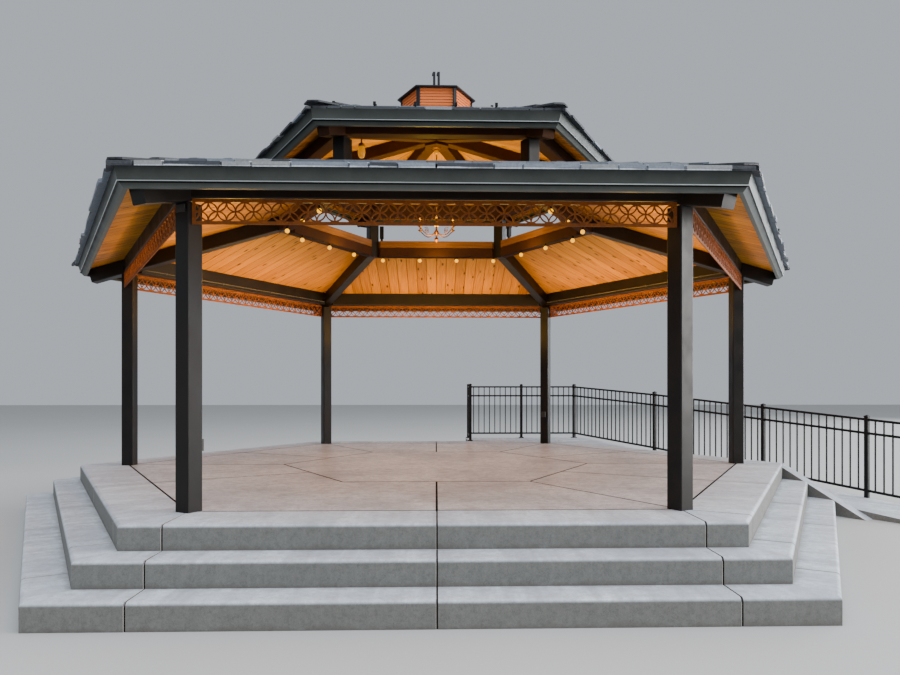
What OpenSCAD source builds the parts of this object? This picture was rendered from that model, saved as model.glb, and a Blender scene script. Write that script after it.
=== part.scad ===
// A six-sided park bandstand: a concrete deck with three risers, a ramp and its guard rail, six steel posts,
// pierced friezes, and a two-tier hipped roof with a boarded ceiling, an open clerestory and a small cupola.
// Millimetres, Z up. The origin is on the ground under the middle of the deck, and the front is towards -Y.

/* [Plan] */
// Radius of the circle through the centres of the six main posts
post_circle_r = 4000; // [3700:10:4300]
// Radius of the circle through the centres of the six upper posts
ring_r = 2000; // [1800:10:2200]
// Width of the walkway from the post line to the edge of the deck
border_w = 551; // [450:1:700]
// Radius to the corners of the middle floor panel
floor_center_r = 2000; // [1400:10:2600]

/* [Steps] */
// Height of each of the three risers
riser_h = 190; // [160:1:210]
// Depth of each tread
tread_d = 300; // [260:1:360]
// Radius of the rounded nosing of the treads and the deck
nosing_r = 30; // [8:1:40]
// Width of the joint between concrete pieces
joint_w = 14; // [4:1:20]
// Thickness of the floor slab inside the posts
floor_t = 150; // [100:1:180]

/* [Ramp] */
// Width of the ramp and of the landing behind the deck
ramp_w = 905; // [850:1:1100]
// Length of ramp for each unit of fall
ramp_run = 12; // [10:0.5:16]
// Level stretch of the landing past the corner of the deck
landing_turn = 400; // [200:10:800]
// Distance from the middle of the back to the end of the landing
landing_start = 600; // [300:10:1200]
// Thickness of the cheek wall between the steps and the ramp
cheek_t = 150; // [100:5:200]
// Length over which the top of the cheek wall slopes to the ground
cheek_run = 1150; // [900:10:1400]

/* [Posts] */
// Width of the square main posts
post_w = 150; // [120:1:180]
// Width of the square upper posts
upper_post_w = 150; // [110:1:170]
// Radius of the rounded corners of the steel tubes
tube_r = 12; // [4:1:20]

/* [Frieze] */
// Clear height from the deck to the bottom of the frieze
frieze_clear = 2300; // [2150:10:2500]
// Height of a frieze panel
frieze_h = 205; // [190:1:230]
// Width of one circle of the pattern, from centre to centre
frieze_module = 143.5; // [130:0.5:150]
// Border of the frieze round its pattern
frieze_edge = 26; // [18:1:40]
// From the end of the pattern to its first crossing
frieze_start = 31; // [0:1:140]
// Width of the curved bars
frieze_bar = 11; // [8:1:16]
// Thickness of the frieze plate
frieze_t = 8; // [5:1:12]
// Gap between the frieze and the beam above it
frieze_gap = 5; // [2:1:15]

/* [Beams] */
// Width of the eave beams
beam_w = 150; // [120:1:180]
// Height of the inner face of the main eave beams
beam_h = 208; // [180:1:240]
// Width of the hip rafters of both roofs
rafter_w = 150; // [110:1:170]
// Depth of the main hip rafters
rafter_d = 175; // [150:1:200]
// Depth of the upper hip rafters
upper_rafter_d = 150; // [120:1:180]
// Height of the steel ring beam
ring_beam_h = 140; // [110:1:170]
// Height of the timber curb on the ring beam
curb_h = 103; // [80:1:120]
// Height of the opening between the curb and the upper eave beam
clerestory_h = 383; // [300:1:480]
// Height of the inner face of the upper eave beams
upper_beam_h = 183; // [160:1:210]

/* [Roofs] */
// Rise of the roofs for 12 units of run
roof_rise = 4; // [3.5:0.1:4.5]
// Distance from the post line to the face of the main gutter
eave_out = 576; // [500:1:650]
// Distance from the upper post line to the face of the upper gutter
upper_eave_out = 440; // [380:1:520]
// Thickness of the ceiling boards
board_t = 38; // [25:1:45]
// Height of the packing between the boards and the tiles
packing_h = 61; // [40:1:80]
// Thickness of a tile
tile_t = 25; // [15:1:30]
// Thickness of the starter course under the lowest tiles of the lower roof
starter_t = 10; // [5:1:25]
// Visible length of a tile course
course_l = 330; // [250:5:400]
// Distance the tiles reach past the gutter
tile_out = 45; // [20:1:60]
// Height of the gutter's face
gutter_h = 100; // [85:1:130]
// Height of the trim under the gutter
trim_h = 42; // [30:1:60]
// Depth of the gutter and its fascia, front to back
gutter_d = 100; // [80:1:120]
// Distance from the end of a rafter tail to the fascia
tail_gap = 5; // [2:1:40]

/* [Cupola] */
// Radius to the corners of the cupola's siding
cupola_r = 465; // [400:5:540]
// Height of the cupola above the eave line of its siding
cupola_h = 358; // [300:1:460]
// Height of one board of the siding
siding_h = 36; // [25:1:110]
// Distance the cupola's cap reaches past the siding's corners
cap_out = 50; // [20:1:70]
// Rise of the cupola's cap
cap_rise = 70; // [40:1:110]
// Height of the twin finial
finial_h = 295; // [200:5:340]

/* [Lights] */
// Drop of the chandelier from the hub to its upper plate
chandelier_drop = 1010; // [800:10:1150]
// Radius of the ring of chandelier lamps
chandelier_r = 250; // [180:5:320]
// Distance between the bulbs of the festoon
bulb_pitch = 575; // [450:5:600]
// Diameter of a festoon bulb
bulb_d = 58; // [40:1:75]

/* [Fence] */
// Height of the guard rail above the landing and the ramp
fence_h = 1050; // [950:10:1150]
// Width of the fence posts
fence_post_w = 50; // [40:1:65]
// Width of a picket
picket_w = 16; // [12:1:20]
// Distance between pickets
picket_pitch = 108; // [90:1:120]
// Height of a fence rail
rail_h = 30; // [20:1:40]
// Distance from the top rail to the second rail
rail_drop = 180; // [120:5:220]
// Height of the bottom rail above the ground under it
rail_foot = 80; // [50:5:120]
// Length of the two upper fence bays beside the ramp
long_bay = 2128; // [1900:1:2300]
// Length of the two lower fence bays beside the ramp
short_bay = 1512; // [1300:1:1700]

/* [Hidden] */
$fn = 48;
big = 20000;
spare = 1;
half_side = tan(30);
slope = roof_rise / 12;
pitch = atan(slope);
hip_slope = slope * cos(30);
hip_pitch = atan(hip_slope);
FRONT = 270;
FRONT_LEFT = 210;
FRONT_RIGHT = 330;
BACK_LEFT = 150;
BACK_RIGHT = 30;
BACK = 90;
SIDES = [FRONT, FRONT_LEFT, FRONT_RIGHT, BACK_LEFT, BACK_RIGHT, BACK];

// Plan distances from the middle to the flat sides
post_ap = post_circle_r * cos(30);
deck_ap = post_ap + border_w;
deck_r = deck_ap / cos(30);
ring_ap = ring_r * cos(30);
joint_x = post_circle_r / 2;
ramp_ap = deck_ap + ramp_w;
ramp_r = ramp_ap / cos(30);

// Heights above the ground
deck_z = 3 * riser_h;
ledge_z = 2 * riser_h;
frieze_z = deck_z + frieze_clear;
beam_z = frieze_z + frieze_h + frieze_gap;
beam_in = post_ap - beam_w / 2;
beam_out = post_ap + beam_w / 2;
ceiling_z = beam_z + beam_h;
crown = rafter_w / 2 * sin(30) * slope;
board_rise = board_t / cos(pitch);
ring_in = ring_ap - upper_post_w / 2;
ring_out = ring_ap + upper_post_w / 2;
ring_face_r = ring_r + upper_post_w / 2;
ring_beam_z = rafter_top(ring_face_r, beam_in, ceiling_z) - rafter_d / cos(hip_pitch);
curb_z = ring_beam_z + ring_beam_h;
clerestory_z = curb_z + curb_h;
upper_beam_z = clerestory_z + clerestory_h;
upper_ceiling_z = upper_beam_z + upper_beam_h;
post_top = rafter_top(post_circle_r + post_w / 2, beam_in, ceiling_z) - rafter_d / cos(hip_pitch);
upper_post_top = rafter_top(ring_face_r, ring_in, upper_ceiling_z) - upper_rafter_d / cos(hip_pitch);

// Gutters and tiles
eave_ap = post_ap + eave_out;
upper_eave_ap = ring_ap + upper_eave_out;
gutter_back = 0.27;
trim_back = 0.95;
gutter_lean = gutter_h * gutter_back;
trim_lean = trim_h * trim_back;
bead_w = 5;
apron_w = 90;
hub_r = rafter_w;
hub_drop = 36;
cupola_ap = cupola_r * cos(30);
toe_h = 15;
hip_gap = 3;
cap_w = 95;
corner_w = 44;
corner_proud = 6;
siding_wall = 40;
siding_lap = 9;
cap_edge = 15;
finial_base = 113;
stem_w = 32;
upright_w = 57;
flag_drop = 30;
flag_h = 18;
rod_d = 14;
ball_d = 90;
chandelier_h = 200;
cable_d = 9;
cable_inset = 20;
cable_in = ring_in + cable_inset;
cable_out = ring_ap + upper_post_w / 2 - cable_inset;
CABLE_LINES = [cable_in, cable_out, cable_out, cable_in, cable_in, cable_in];
socket_h = 27;
BULB_STARTS = [530, 565, 385, 255, 585, 125];
bulb_end = 20;
speaker_w = 60;
speaker_d = 50;
speaker_h = 190;
speaker_lift = 50;
speaker_foot = 34;
speaker_near = 144;
speaker_far = 244;
flood_d = 63;
flood_l = 62;
flood_arm = 18;
flood_near = 294;
flood_far = 374;
box_w = 72;
box_h = 98;
box_d = 45;
box_z = 480;
plate_w = 96;
plate_h = 58;
plate_t = 12;
plate_lift = 98;
fence_cap = 25;

// Places of the ramp, the cheek wall and the fence, along the side that they serve
ramp_head_x = ramp_r / 2 - landing_turn;
ramp_toe_x = ramp_head_x - ramp_run * (deck_z - toe_h);
cheek_x = -deck_r / 2;
fence_ap = ramp_ap - fence_post_w;
fence_corner_x = fence_ap * half_side;
landing_post_x = -(landing_start + fence_post_w + fence_corner_x) / 2;
frieze_ap = beam_out - 3;
tail_r = (eave_ap - gutter_d - rafter_w / 2 * sin(30)) / cos(30) - tail_gap;
upper_tail_r = (upper_eave_ap - gutter_d - rafter_w / 2 * sin(30)) / cos(30) - tail_gap;
hub_z = rafter_top(hub_r, ring_in, upper_ceiling_z) - upper_rafter_d / cos(hip_pitch) - hub_drop;
cupola_z = tile_bed(cupola_ap, ring_in, upper_ceiling_z) + 2 * tile_t + cupola_h;
// Place of fence post i down the ramp, counted from the corner of the landing
function ramp_post_x(i) = fence_corner_x - min(i, 2) * long_bay - max(i - 2, 0) * short_bay;
// Height of the ramp's surface
function ramp_z(x) = max(0, min(deck_z, deck_z - (ramp_head_x - x) / ramp_run));

// Height of the underside of a ceiling at plan distance a from the middle
function under(a, ref_ap, ref_z) = ref_z - slope * (a - ref_ap);
// Height of the flat top of a hip rafter at radius r
function rafter_top(r, ref_ap, ref_z) = under(r * cos(30), ref_ap, ref_z) - crown;
// Height of the top of the ceiling boards
function board_top(a, ref_ap, ref_z) = under(a, ref_ap, ref_z) + board_rise;
// Height of the bottom of the tiles
function tile_bed(a, ref_ap, ref_z) = board_top(a, ref_ap, ref_z) + packing_h;

// Turns what is drawn for the front so that it faces another way
module at_side(angle) rotate([0, 0, angle - FRONT]) children();

// The wedge of plan between two hips, drawn back by half the gap on each side
module sector(gap, z0, z1)
    translate([0, 0, z0]) linear_extrude(z1 - z0)
        polygon([[0, -gap], [-(big - gap) * half_side, -big], [(big - gap) * half_side, -big]]);

// An outline carried along the front and mitred at the two hips
module mitred_outline(gap, z0, z1)
    intersection() {
        translate([-big / 2, 0, 0]) rotate([90, 0, 90]) linear_extrude(big) children();
        sector(gap, z0, z1);
    }

// The same for a profile of [distance from the middle, height] points
module mitred(points, gap, z0, z1)
    mitred_outline(gap, z0, z1) polygon([for (p = points) [-p[0], p[1]]]);

// Outline of a square or oblong steel tube with rounded corners
module tube_outline(w, d) {
    square([w, d - 2 * tube_r], center = true);
    square([w - 2 * tube_r, d], center = true);
    for (x = [-1, 1], y = [-1, 1]) translate([x * (w / 2 - tube_r), y * (d / 2 - tube_r)]) circle(tube_r);
}

// Outline of a concrete step with a rounded nosing
module step_outline(ap_in, ap_out, z0, z1) {
    translate([-ap_out, z0]) square([ap_out - ap_in, z1 - z0 - nosing_r]);
    translate([nosing_r - ap_out, z0]) square([ap_out - ap_in - nosing_r, z1 - z0]);
    translate([nosing_r - ap_out, z1 - nosing_r]) circle(nosing_r);
}

// A straight run of step along the front, from x0 to x1
module step_run(ap_in, ap_out, z0, z1, x0, x1)
    translate([x0, 0, 0]) rotate([90, 0, 90]) linear_extrude(x1 - x0) step_outline(ap_in, ap_out, z0, z1);

// The piece that turns the corner at the right-hand end of the front
module step_corner(ap_in, ap_out, z0, z1) {
    reach = ap_out;
    intersection() {
        step_run(ap_in, ap_out, z0, z1, joint_x + joint_w / 2, reach);
        sector(0, 0, deck_z + spare);
    }
    rotate([0, 0, 60]) intersection() {
        step_run(ap_in, ap_out, z0, z1, -reach, -joint_x - joint_w / 2);
        sector(0, 0, deck_z + spare);
    }
}

// Both steps of one flight, between two joints
module flight(x0, x1) {
    step_run(deck_ap, deck_ap + tread_d, 0, ledge_z, x0, x1);
    step_run(deck_ap + tread_d, deck_ap + 2 * tread_d, 0, riser_h, x0, x1);
}

// Both halves of a flight on a side that has a joint at each post and one in the middle
module whole_flight() {
    flight(joint_w / 2 - joint_x, -joint_w / 2);
    flight(joint_w / 2, joint_x - joint_w / 2);
}

module plinth_core() color("gray") {
    cylinder(r = deck_r, h = ledge_z, $fn = 6);
    cylinder(r = post_circle_r, h = deck_z - floor_t, $fn = 6);
}

// A six-sided slab in the middle and twelve between it and the post line
module floor_slabs() color("burlywood") {
    a0 = floor_center_r * cos(30) + joint_w / 2;
    slip = joint_w / 2 / cos(30);
    translate([0, 0, deck_z - floor_t]) cylinder(r = floor_center_r - joint_w / 2, h = floor_t, $fn = 6);
    for (side = SIDES, hand = [0, 1])
        at_side(side) mirror([hand, 0, 0]) translate([0, 0, deck_z - floor_t]) linear_extrude(floor_t)
            polygon([[joint_w / 2, -a0], [a0 * half_side - slip, -a0],
                [post_ap * half_side - slip, -post_ap], [joint_w / 2, -post_ap]]);
}

// Two slabs a side between the post line and the edge of the deck
module deck_border() color("silver")
    for (side = SIDES) at_side(side) {
        step_run(post_ap + joint_w, deck_ap, ledge_z, deck_z, joint_w / 2 - joint_x, -joint_w / 2);
        step_run(post_ap + joint_w, deck_ap, ledge_z, deck_z, joint_w / 2, joint_x - joint_w / 2);
    }

module border_corners() color("silver")
    for (side = SIDES) at_side(side) step_corner(post_ap + joint_w, deck_ap, ledge_z, deck_z);

module front_steps() color("silver") at_side(FRONT) whole_flight();

// Flights on three slanting sides, of which the front right one stops at the cheek wall
module side_steps() color("silver") {
    for (side = [FRONT_LEFT, BACK_LEFT]) at_side(side) whole_flight();
    at_side(FRONT_RIGHT) {
        flight(joint_w / 2 - joint_x, -joint_w / 2);
        intersection() {
            flight(joint_w / 2, big / 2);
            rotate([0, 0, 60]) translate([-big, -(deck_ap - cheek_t), 0]) cube([2 * big, big, deck_z]);
        }
    }
}

// The near end of this flight stops at the landing
module back_steps() color("silver") at_side(BACK) {
    flight(-landing_start, -joint_w / 2);
    flight(joint_w / 2, joint_x - joint_w / 2);
}

// Corner pieces of both steps at four corners of the deck
module corner_steps() color("silver")
    for (side = [FRONT, FRONT_LEFT, BACK_LEFT, BACK]) at_side(side) {
        step_corner(deck_ap, deck_ap + tread_d, 0, ledge_z);
        step_corner(deck_ap + tread_d, deck_ap + 2 * tread_d, 0, riser_h);
    }

// Level ground behind the deck, from the fence's return round to the head of the ramp
module landing() color("lightgray") {
    at_side(BACK) intersection() {
        translate([-big, -ramp_ap, 0]) cube([big - landing_start, ramp_w, deck_z]);
        sector(0, 0, deck_z);
    }
    at_side(BACK_RIGHT) intersection() {
        translate([ramp_head_x, -ramp_ap, 0]) cube([big, ramp_w, deck_z]);
        sector(0, 0, deck_z);
    }
}

module ramp() color("lightgray") at_side(BACK_RIGHT)
    translate([0, -deck_ap, 0]) rotate([90, 0, 0]) linear_extrude(ramp_w)
        polygon([[ramp_head_x, 0], [ramp_head_x, deck_z], [ramp_toe_x, toe_h], [ramp_toe_x, 0]]);

// Low wall between the ramp and the steps, with a raking top
module cheek_wall() color("lightgray") difference() {
    at_side(BACK_RIGHT) translate([0, -(deck_ap - cheek_t), 0]) rotate([90, 0, 0]) linear_extrude(cheek_t)
        polygon([[cheek_x + tread_d, 0], [cheek_x + tread_d, deck_z], [cheek_x, deck_z],
            [cheek_x - cheek_run, 0]]);
    translate([0, 0, -spare]) cylinder(r = deck_r, h = deck_z + 2 * spare, $fn = 6);
}

// One square fence post standing on height z
module fence_post(x, z)
    translate([x - fence_post_w / 2, -fence_post_w / 2, z]) {
        cube([fence_post_w, fence_post_w, fence_h + fence_cap]);
    }

// A panel of rails and pickets between two posts at x0 and x1, where the ground is at z0 and z1
module fence_bay(x0, x1, z0, z1) {
    a = x0 + fence_post_w / 2;
    b = x1 - fence_post_w / 2;
    fall = (z1 - z0) / (x1 - x0);
    for (h = [rail_foot, fence_h - rail_drop - rail_h, fence_h - rail_h])
        translate([0, picket_w, 0]) rotate([90, 0, 0]) linear_extrude(2 * picket_w)
            polygon([[a, z0 + h + (a - x0) * fall], [b, z0 + h + (b - x0) * fall],
                [b, z0 + h + rail_h + (b - x0) * fall], [a, z0 + h + rail_h + (a - x0) * fall]]);
    count = floor((b - a - picket_w) / picket_pitch);
    first = (a + b) / 2 - (count - 1) / 2 * picket_pitch;
    for (i = [0 : count - 1]) {
        x = first + i * picket_pitch;
        translate([x - picket_w / 2, -picket_w / 2, z0 + rail_foot + rail_h / 2 + (x - x0) * fall])
            cube([picket_w, picket_w, fence_h - rail_foot - rail_h]);
    }
}

module fence_posts() color("black") {
    at_side(BACK) {
        translate([-landing_start - fence_post_w, -(deck_ap + fence_post_w / 2), 0]) fence_post(0, deck_z);
        for (x = [-landing_start - fence_post_w, landing_post_x]) translate([0, -fence_ap, 0]) fence_post(x, deck_z);
    }
    at_side(BACK_RIGHT) translate([0, -fence_ap, 0])
        for (i = [0 : 4]) fence_post(ramp_post_x(i), ramp_z(ramp_post_x(i)));
}

// Rails and pickets of the three landing bays and the four ramp bays
module fence_panels() color("black") {
    at_side(BACK) {
        translate([-landing_start - fence_post_w, -(deck_ap + fence_post_w / 2), 0]) rotate([0, 0, -90])
            fence_bay(0, fence_ap - deck_ap - fence_post_w / 2, deck_z, deck_z);
        translate([0, -fence_ap, 0]) {
            fence_bay(landing_post_x, -landing_start - fence_post_w, deck_z, deck_z);
            fence_bay(-fence_ap * half_side, landing_post_x, deck_z, deck_z);
        }
    }
    at_side(BACK_RIGHT) translate([0, -fence_ap, 0]) for (i = [0 : 3]) {
        x0 = ramp_post_x(i + 1);
        x1 = ramp_post_x(i);
        fence_bay(x0, x1, ramp_z(x0), ramp_z(x1));
    }
}

// Six posts, turned so that two faces of each look along the radius
module main_posts() color("dimgray")
    for (angle = [0 : 60 : 300]) rotate([0, 0, angle])
        translate([post_circle_r, 0, deck_z]) linear_extrude(post_top - deck_z) tube_outline(post_w, post_w);

// Outline of one leaf of the pattern, between the crossings at its two ends
module leaf() intersection() {
    circle_r = (frieze_module - frieze_bar) / 2;
    translate([frieze_module / 2, 0]) circle(circle_r);
    translate([0, frieze_module / 2]) circle(circle_r);
}

// Outline of the four-pointed opening between four leaves
module star() difference() {
    half = frieze_module / 2;
    circle_r = half + frieze_bar / 2;
    square(frieze_module - 2 * frieze_bar, center = true);
    for (x = [-half, half], y = [-half, half]) translate([x, y]) circle(circle_r);
}

// The openings round one crossing: four leaves, and the stars to its right, above it and below it
module crossing() {
    half = frieze_module / 2;
    for (sx = [-1, 1], sy = [-1, 1]) mirrored_leaf(sx, sy);
    translate([half, 0]) star();
    for (sy = [-1, 1]) translate([0, sy * half]) star();
}

// A plate between two posts, pierced with a pattern of overlapping circles that runs on until its border cuts it
module frieze(angle) color("sienna") at_side(angle) {
    length = 2 * ((frieze_ap - frieze_t) * half_side - post_w / 2 / cos(30));
    open_l = length - 2 * frieze_edge;
    count = ceil((open_l - frieze_start) / frieze_module);
    translate([0, -frieze_ap + frieze_t, frieze_z]) rotate([90, 0, 0]) linear_extrude(frieze_t) difference() {
        translate([-length / 2, 0]) square([length, frieze_h]);
        intersection() {
            translate([-open_l / 2, frieze_edge]) square([open_l, frieze_h - 2 * frieze_edge]);
            translate([frieze_start - open_l / 2, frieze_h / 2])
                for (i = [-1 : count]) translate([i * frieze_module, 0]) crossing();
        }
    }
}

module mirrored_leaf(sx, sy) mirror([sx < 0 ? 1 : 0, 0]) mirror([0, sy < 0 ? 1 : 0]) leaf();

module frieze_front() frieze(FRONT);
module frieze_front_left() frieze(FRONT_LEFT);
module frieze_front_right() frieze(FRONT_RIGHT);
module frieze_back_left() frieze(BACK_LEFT);
module frieze_back_right() frieze(BACK_RIGHT);
module frieze_back() frieze(BACK);

// A ring of six beams whose tops follow the roof, with rounded lower corners
module beam_ring(a0, a1, z, ref_ap, ref_z, gap)
    for (side = SIDES) at_side(side) mitred_outline(gap, z - spare, ref_z + big / 10) {
        polygon([[-a0, z + tube_r], [-a1, z + tube_r], [-a1, under(a1, ref_ap, ref_z)],
            [-a0, under(a0, ref_ap, ref_z)]]);
        translate([tube_r - a1, z]) square([a1 - a0 - 2 * tube_r, 2 * tube_r]);
        for (a = [a0 + tube_r, a1 - tube_r]) translate([-a, z + tube_r]) circle(tube_r);
    }

// Six hip rafters from radius r0 to a square-cut end at radius r1
module rafters(r0, r1, ref_ap, ref_z, depth)
    for (angle = [0 : 60 : 300]) rotate([0, 0, angle]) difference() {
        length = (r1 - r0) / cos(hip_pitch) + depth;
        translate([r1, 0, rafter_top(r1, ref_ap, ref_z)]) rotate([0, 90 + hip_pitch, 0])
            translate([depth / 2, 0, -length]) linear_extrude(length) tube_outline(depth, rafter_w);
        translate([r0 - big, -rafter_w, 0]) cube([big, 2 * rafter_w, big]);
    }

// Ceiling boards of one roof, six panels that meet over the hips
module boarding(a0, a1, ref_ap, ref_z)
    for (side = SIDES) at_side(side)
        mitred([[a0, under(a0, ref_ap, ref_z)], [a1, under(a1, ref_ap, ref_z)],
            [a1, board_top(a1, ref_ap, ref_z)], [a0, board_top(a0, ref_ap, ref_z)]], hip_gap, 0, ref_z + big / 10);

// Packing and tiles of one roof in lapped courses, of which the lowest is eave_t thick at its edge
module roofing(a0, a_fascia, a1, ref_ap, ref_z, eave_t) {
    lap = tile_t / cos(pitch);
    run = course_l * cos(pitch);
    count = floor((a1 - a0) / run);
    steps = [for (k = [0 : count])
        let (a = a1 - k * run, b = max(a0, a - run), rise = k == 0 ? eave_t / cos(pitch) : 2 * lap)
        each [[a, tile_bed(a, ref_ap, ref_z) + rise], [b, tile_bed(b, ref_ap, ref_z) + lap]]];
    for (side = SIDES) at_side(side)
        mitred(concat([[a0, board_top(a0, ref_ap, ref_z)], [a_fascia, board_top(a_fascia, ref_ap, ref_z)],
            [a_fascia, tile_bed(a_fascia, ref_ap, ref_z)], [a1, tile_bed(a1, ref_ap, ref_z)]], steps),
            hip_gap, 0, ref_z + big / 10);
}

// Gutter, bead and lower trim of one eave, leaning back like a board square to the rafters
module gutter(e, ref_ap, ref_z) {
    top = tile_bed(e, ref_ap, ref_z);
    for (side = SIDES) at_side(side)
        mitred([[e, top], [e - gutter_lean, top - gutter_h], [e - gutter_lean + bead_w, top - gutter_h],
            [e - gutter_lean + bead_w, top - gutter_h - bead_w], [e - gutter_lean - bead_w, top - gutter_h - bead_w],
            [e - gutter_lean - trim_lean, top - gutter_h - trim_h], [e - gutter_d, top - gutter_h - trim_h],
            [e - gutter_d, tile_bed(e - gutter_d, ref_ap, ref_z)]], 0, 0, ref_z + big / 10);
}

// Six hip caps lying on the tiles from radius r0 to r1
module hip_caps(r0, r1, ref_ap, ref_z) {
    drop = cap_w * sin(30) * slope;
    lift = 2 * tile_t / cos(pitch);
    for (angle = [0 : 60 : 300]) rotate([0, 0, angle])
        translate([r0, 0, tile_bed(r0 * cos(30), ref_ap, ref_z) + lift]) rotate([0, 90 + hip_pitch, 0])
            linear_extrude((r1 - r0) / cos(hip_pitch))
                polygon([[drop, -cap_w], [0, 0], [drop, cap_w], [drop - tile_t, cap_w], [-tile_t, 0],
                    [drop - tile_t, -cap_w]]);
}

module eave_beams() color("dimgray") beam_ring(beam_in, beam_out, beam_z, beam_in, ceiling_z, rafter_w);

module hip_rafters() color("dimgray") rafters(ring_face_r, tail_r, beam_in, ceiling_z, rafter_d);

module lower_ceiling() color("peru") boarding(ring_out, eave_ap - gutter_d, beam_in, ceiling_z);

module lower_roofing() color("slategray")
    roofing(ring_out + apron_w, eave_ap - gutter_d, eave_ap + tile_out, beam_in, ceiling_z, tile_t + starter_t);

module lower_gutter() color("darkslategray") gutter(eave_ap, beam_in, ceiling_z);

module lower_hip_caps() color("slategray")
    hip_caps((ring_out + apron_w) / cos(30), (eave_ap + tile_out) / cos(30), beam_in, ceiling_z);

module ring_beam() color("dimgray")
    for (side = SIDES) at_side(side) mitred_outline(upper_post_w, 0, curb_z + spare)
        translate([-ring_ap, ring_beam_z + ring_beam_h / 2]) tube_outline(upper_post_w, ring_beam_h);

module ring_curb() color("saddlebrown")
    for (side = SIDES) at_side(side)
        mitred([[ring_in, curb_z], [ring_out, curb_z], [ring_out, clerestory_z], [ring_in, clerestory_z]],
            upper_post_w, 0, clerestory_z);

// Sheet flashing between the curb and the top of the lower roof
module ring_flashing() color("darkslategray") {
    lap = tile_t / cos(pitch);
    a1 = ring_out + apron_w;
    for (side = SIDES) at_side(side)
        mitred([[ring_out, board_top(ring_out, beam_in, ceiling_z)], [a1, board_top(a1, beam_in, ceiling_z)],
            [a1, tile_bed(a1, beam_in, ceiling_z) + lap], [ring_out, clerestory_z]], hip_gap, 0, clerestory_z + tile_t);
}

module upper_posts() color("dimgray")
    for (angle = [0 : 60 : 300]) rotate([0, 0, angle])
        translate([ring_r, 0, ring_beam_z]) linear_extrude(upper_post_top - ring_beam_z)
            tube_outline(upper_post_w, upper_post_w);

module upper_eave_beams() color("dimgray")
    beam_ring(ring_in, ring_out, upper_beam_z, ring_in, upper_ceiling_z, rafter_w);

module upper_hip_rafters() color("dimgray")
    rafters(hub_r, upper_tail_r, ring_in, upper_ceiling_z, upper_rafter_d);

module hub() color("dimgray") {
    top = rafter_top(hub_r, ring_in, upper_ceiling_z);
    translate([0, 0, hub_z]) rotate([0, 0, 30]) cylinder(r = hub_r / cos(30), h = top - hub_z, $fn = 6);
}

module upper_ceiling() color("peru") boarding(0, upper_eave_ap - gutter_d, ring_in, upper_ceiling_z);

module upper_roofing() color("slategray")
    roofing(cupola_ap, upper_eave_ap - gutter_d, upper_eave_ap + tile_out, ring_in, upper_ceiling_z, tile_t);

module upper_gutter() color("darkslategray") gutter(upper_eave_ap, ring_in, upper_ceiling_z);

module upper_hip_caps() color("slategray")
    hip_caps(cupola_r + corner_w, (upper_eave_ap + tile_out) / cos(30), ring_in, upper_ceiling_z);

// Lapped siding on six sides, standing on the roof boards
module cupola_siding() color("chocolate") {
    count = floor(cupola_h / siding_h);
    low = board_top(cupola_ap, ring_in, upper_ceiling_z);
    inner = cupola_ap - siding_wall;
    laps = [for (k = [0 : count - 1]) each [
        [cupola_ap, cupola_z - (count - k) * siding_h], [cupola_ap - siding_lap, cupola_z - (count - k - 1) * siding_h]]];
    for (side = SIDES) at_side(side)
        mitred(concat([[inner, board_top(inner, ring_in, upper_ceiling_z)], [cupola_ap, low]], laps,
            [[inner, cupola_z]]), corner_w, 0, cupola_z);
}

module cupola_corners() color("saddlebrown") {
    low = board_top(cupola_ap, ring_in, upper_ceiling_z);
    r1 = cupola_r + corner_proud;
    r0 = r1 - siding_wall / cos(30);
    for (angle = [0 : 60 : 300]) rotate([0, 0, angle]) rotate([90, 0, 0])
        linear_extrude(corner_w, center = true)
            polygon([[r0, board_top(r0 * cos(30), ring_in, upper_ceiling_z)],
                [r1, board_top(r1 * cos(30), ring_in, upper_ceiling_z)], [r1, cupola_z], [r0, cupola_z]]);
}

module cupola_cap() color("dimgray") translate([0, 0, cupola_z]) {
    cylinder(r = cupola_r + cap_out, h = cap_edge, $fn = 6);
    translate([0, 0, cap_edge]) cylinder(r1 = cupola_r + cap_out, r2 = finial_base / 2, h = cap_rise, $fn = 6);
}

// Two flat uprights side by side, each with a foot and a short slanting flag at the top
module finial() color("dimgray") translate([0, 0, cupola_z + cap_edge + cap_rise]) {
    translate([-finial_base / 2, -stem_w, 0]) cube([finial_base, 2 * stem_w, stem_w / 2]);
    for (x = [-upright_w / 2 - spare, upright_w / 2 + spare]) translate([x, stem_w / 2, 0]) rotate([90, 0, 0])
        linear_extrude(stem_w) {
            translate([-upright_w / 2, 0]) square([upright_w, stem_w]);
            translate([-stem_w / 2, 0]) square([stem_w, finial_h]);
            polygon([[0, finial_h], [-stem_w / 2, finial_h], [-upright_w / 2, finial_h - flag_drop],
                [-upright_w / 2, finial_h - flag_drop - flag_h], [0, finial_h - flag_drop - flag_h / 2]]);
        }
}

// Rod, ball, ring of arms and candle lamps under the hub
module chandelier() color("dimgray") {
    plate_z = hub_z - chandelier_drop;
    cylinder_at(0, plate_z, rod_d / 2, hub_z - plate_z);
    translate([0, 0, hub_z - ball_d / 2]) sphere(ball_d / 2);
    cylinder_at(0, plate_z - chandelier_h, 2 * rod_d, chandelier_h);
    translate([0, 0, plate_z - chandelier_h]) sphere(2.5 * rod_d);
    translate([0, 0, plate_z - chandelier_h / 2]) rotate_extrude() translate([chandelier_r, 0]) circle(rod_d / 2);
    for (angle = [30 : 60 : 330]) rotate([0, 0, angle]) {
        translate([0, 0, plate_z - chandelier_h / 2]) rotate([0, 90, 0]) cylinder(r = rod_d / 2, h = chandelier_r);
        cylinder_at(chandelier_r, plate_z - chandelier_h / 2, 1.5 * rod_d, 2 * rod_d);
        cylinder_at(chandelier_r, plate_z - chandelier_h / 2, rod_d, chandelier_h * 0.6);
    }
}

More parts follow.
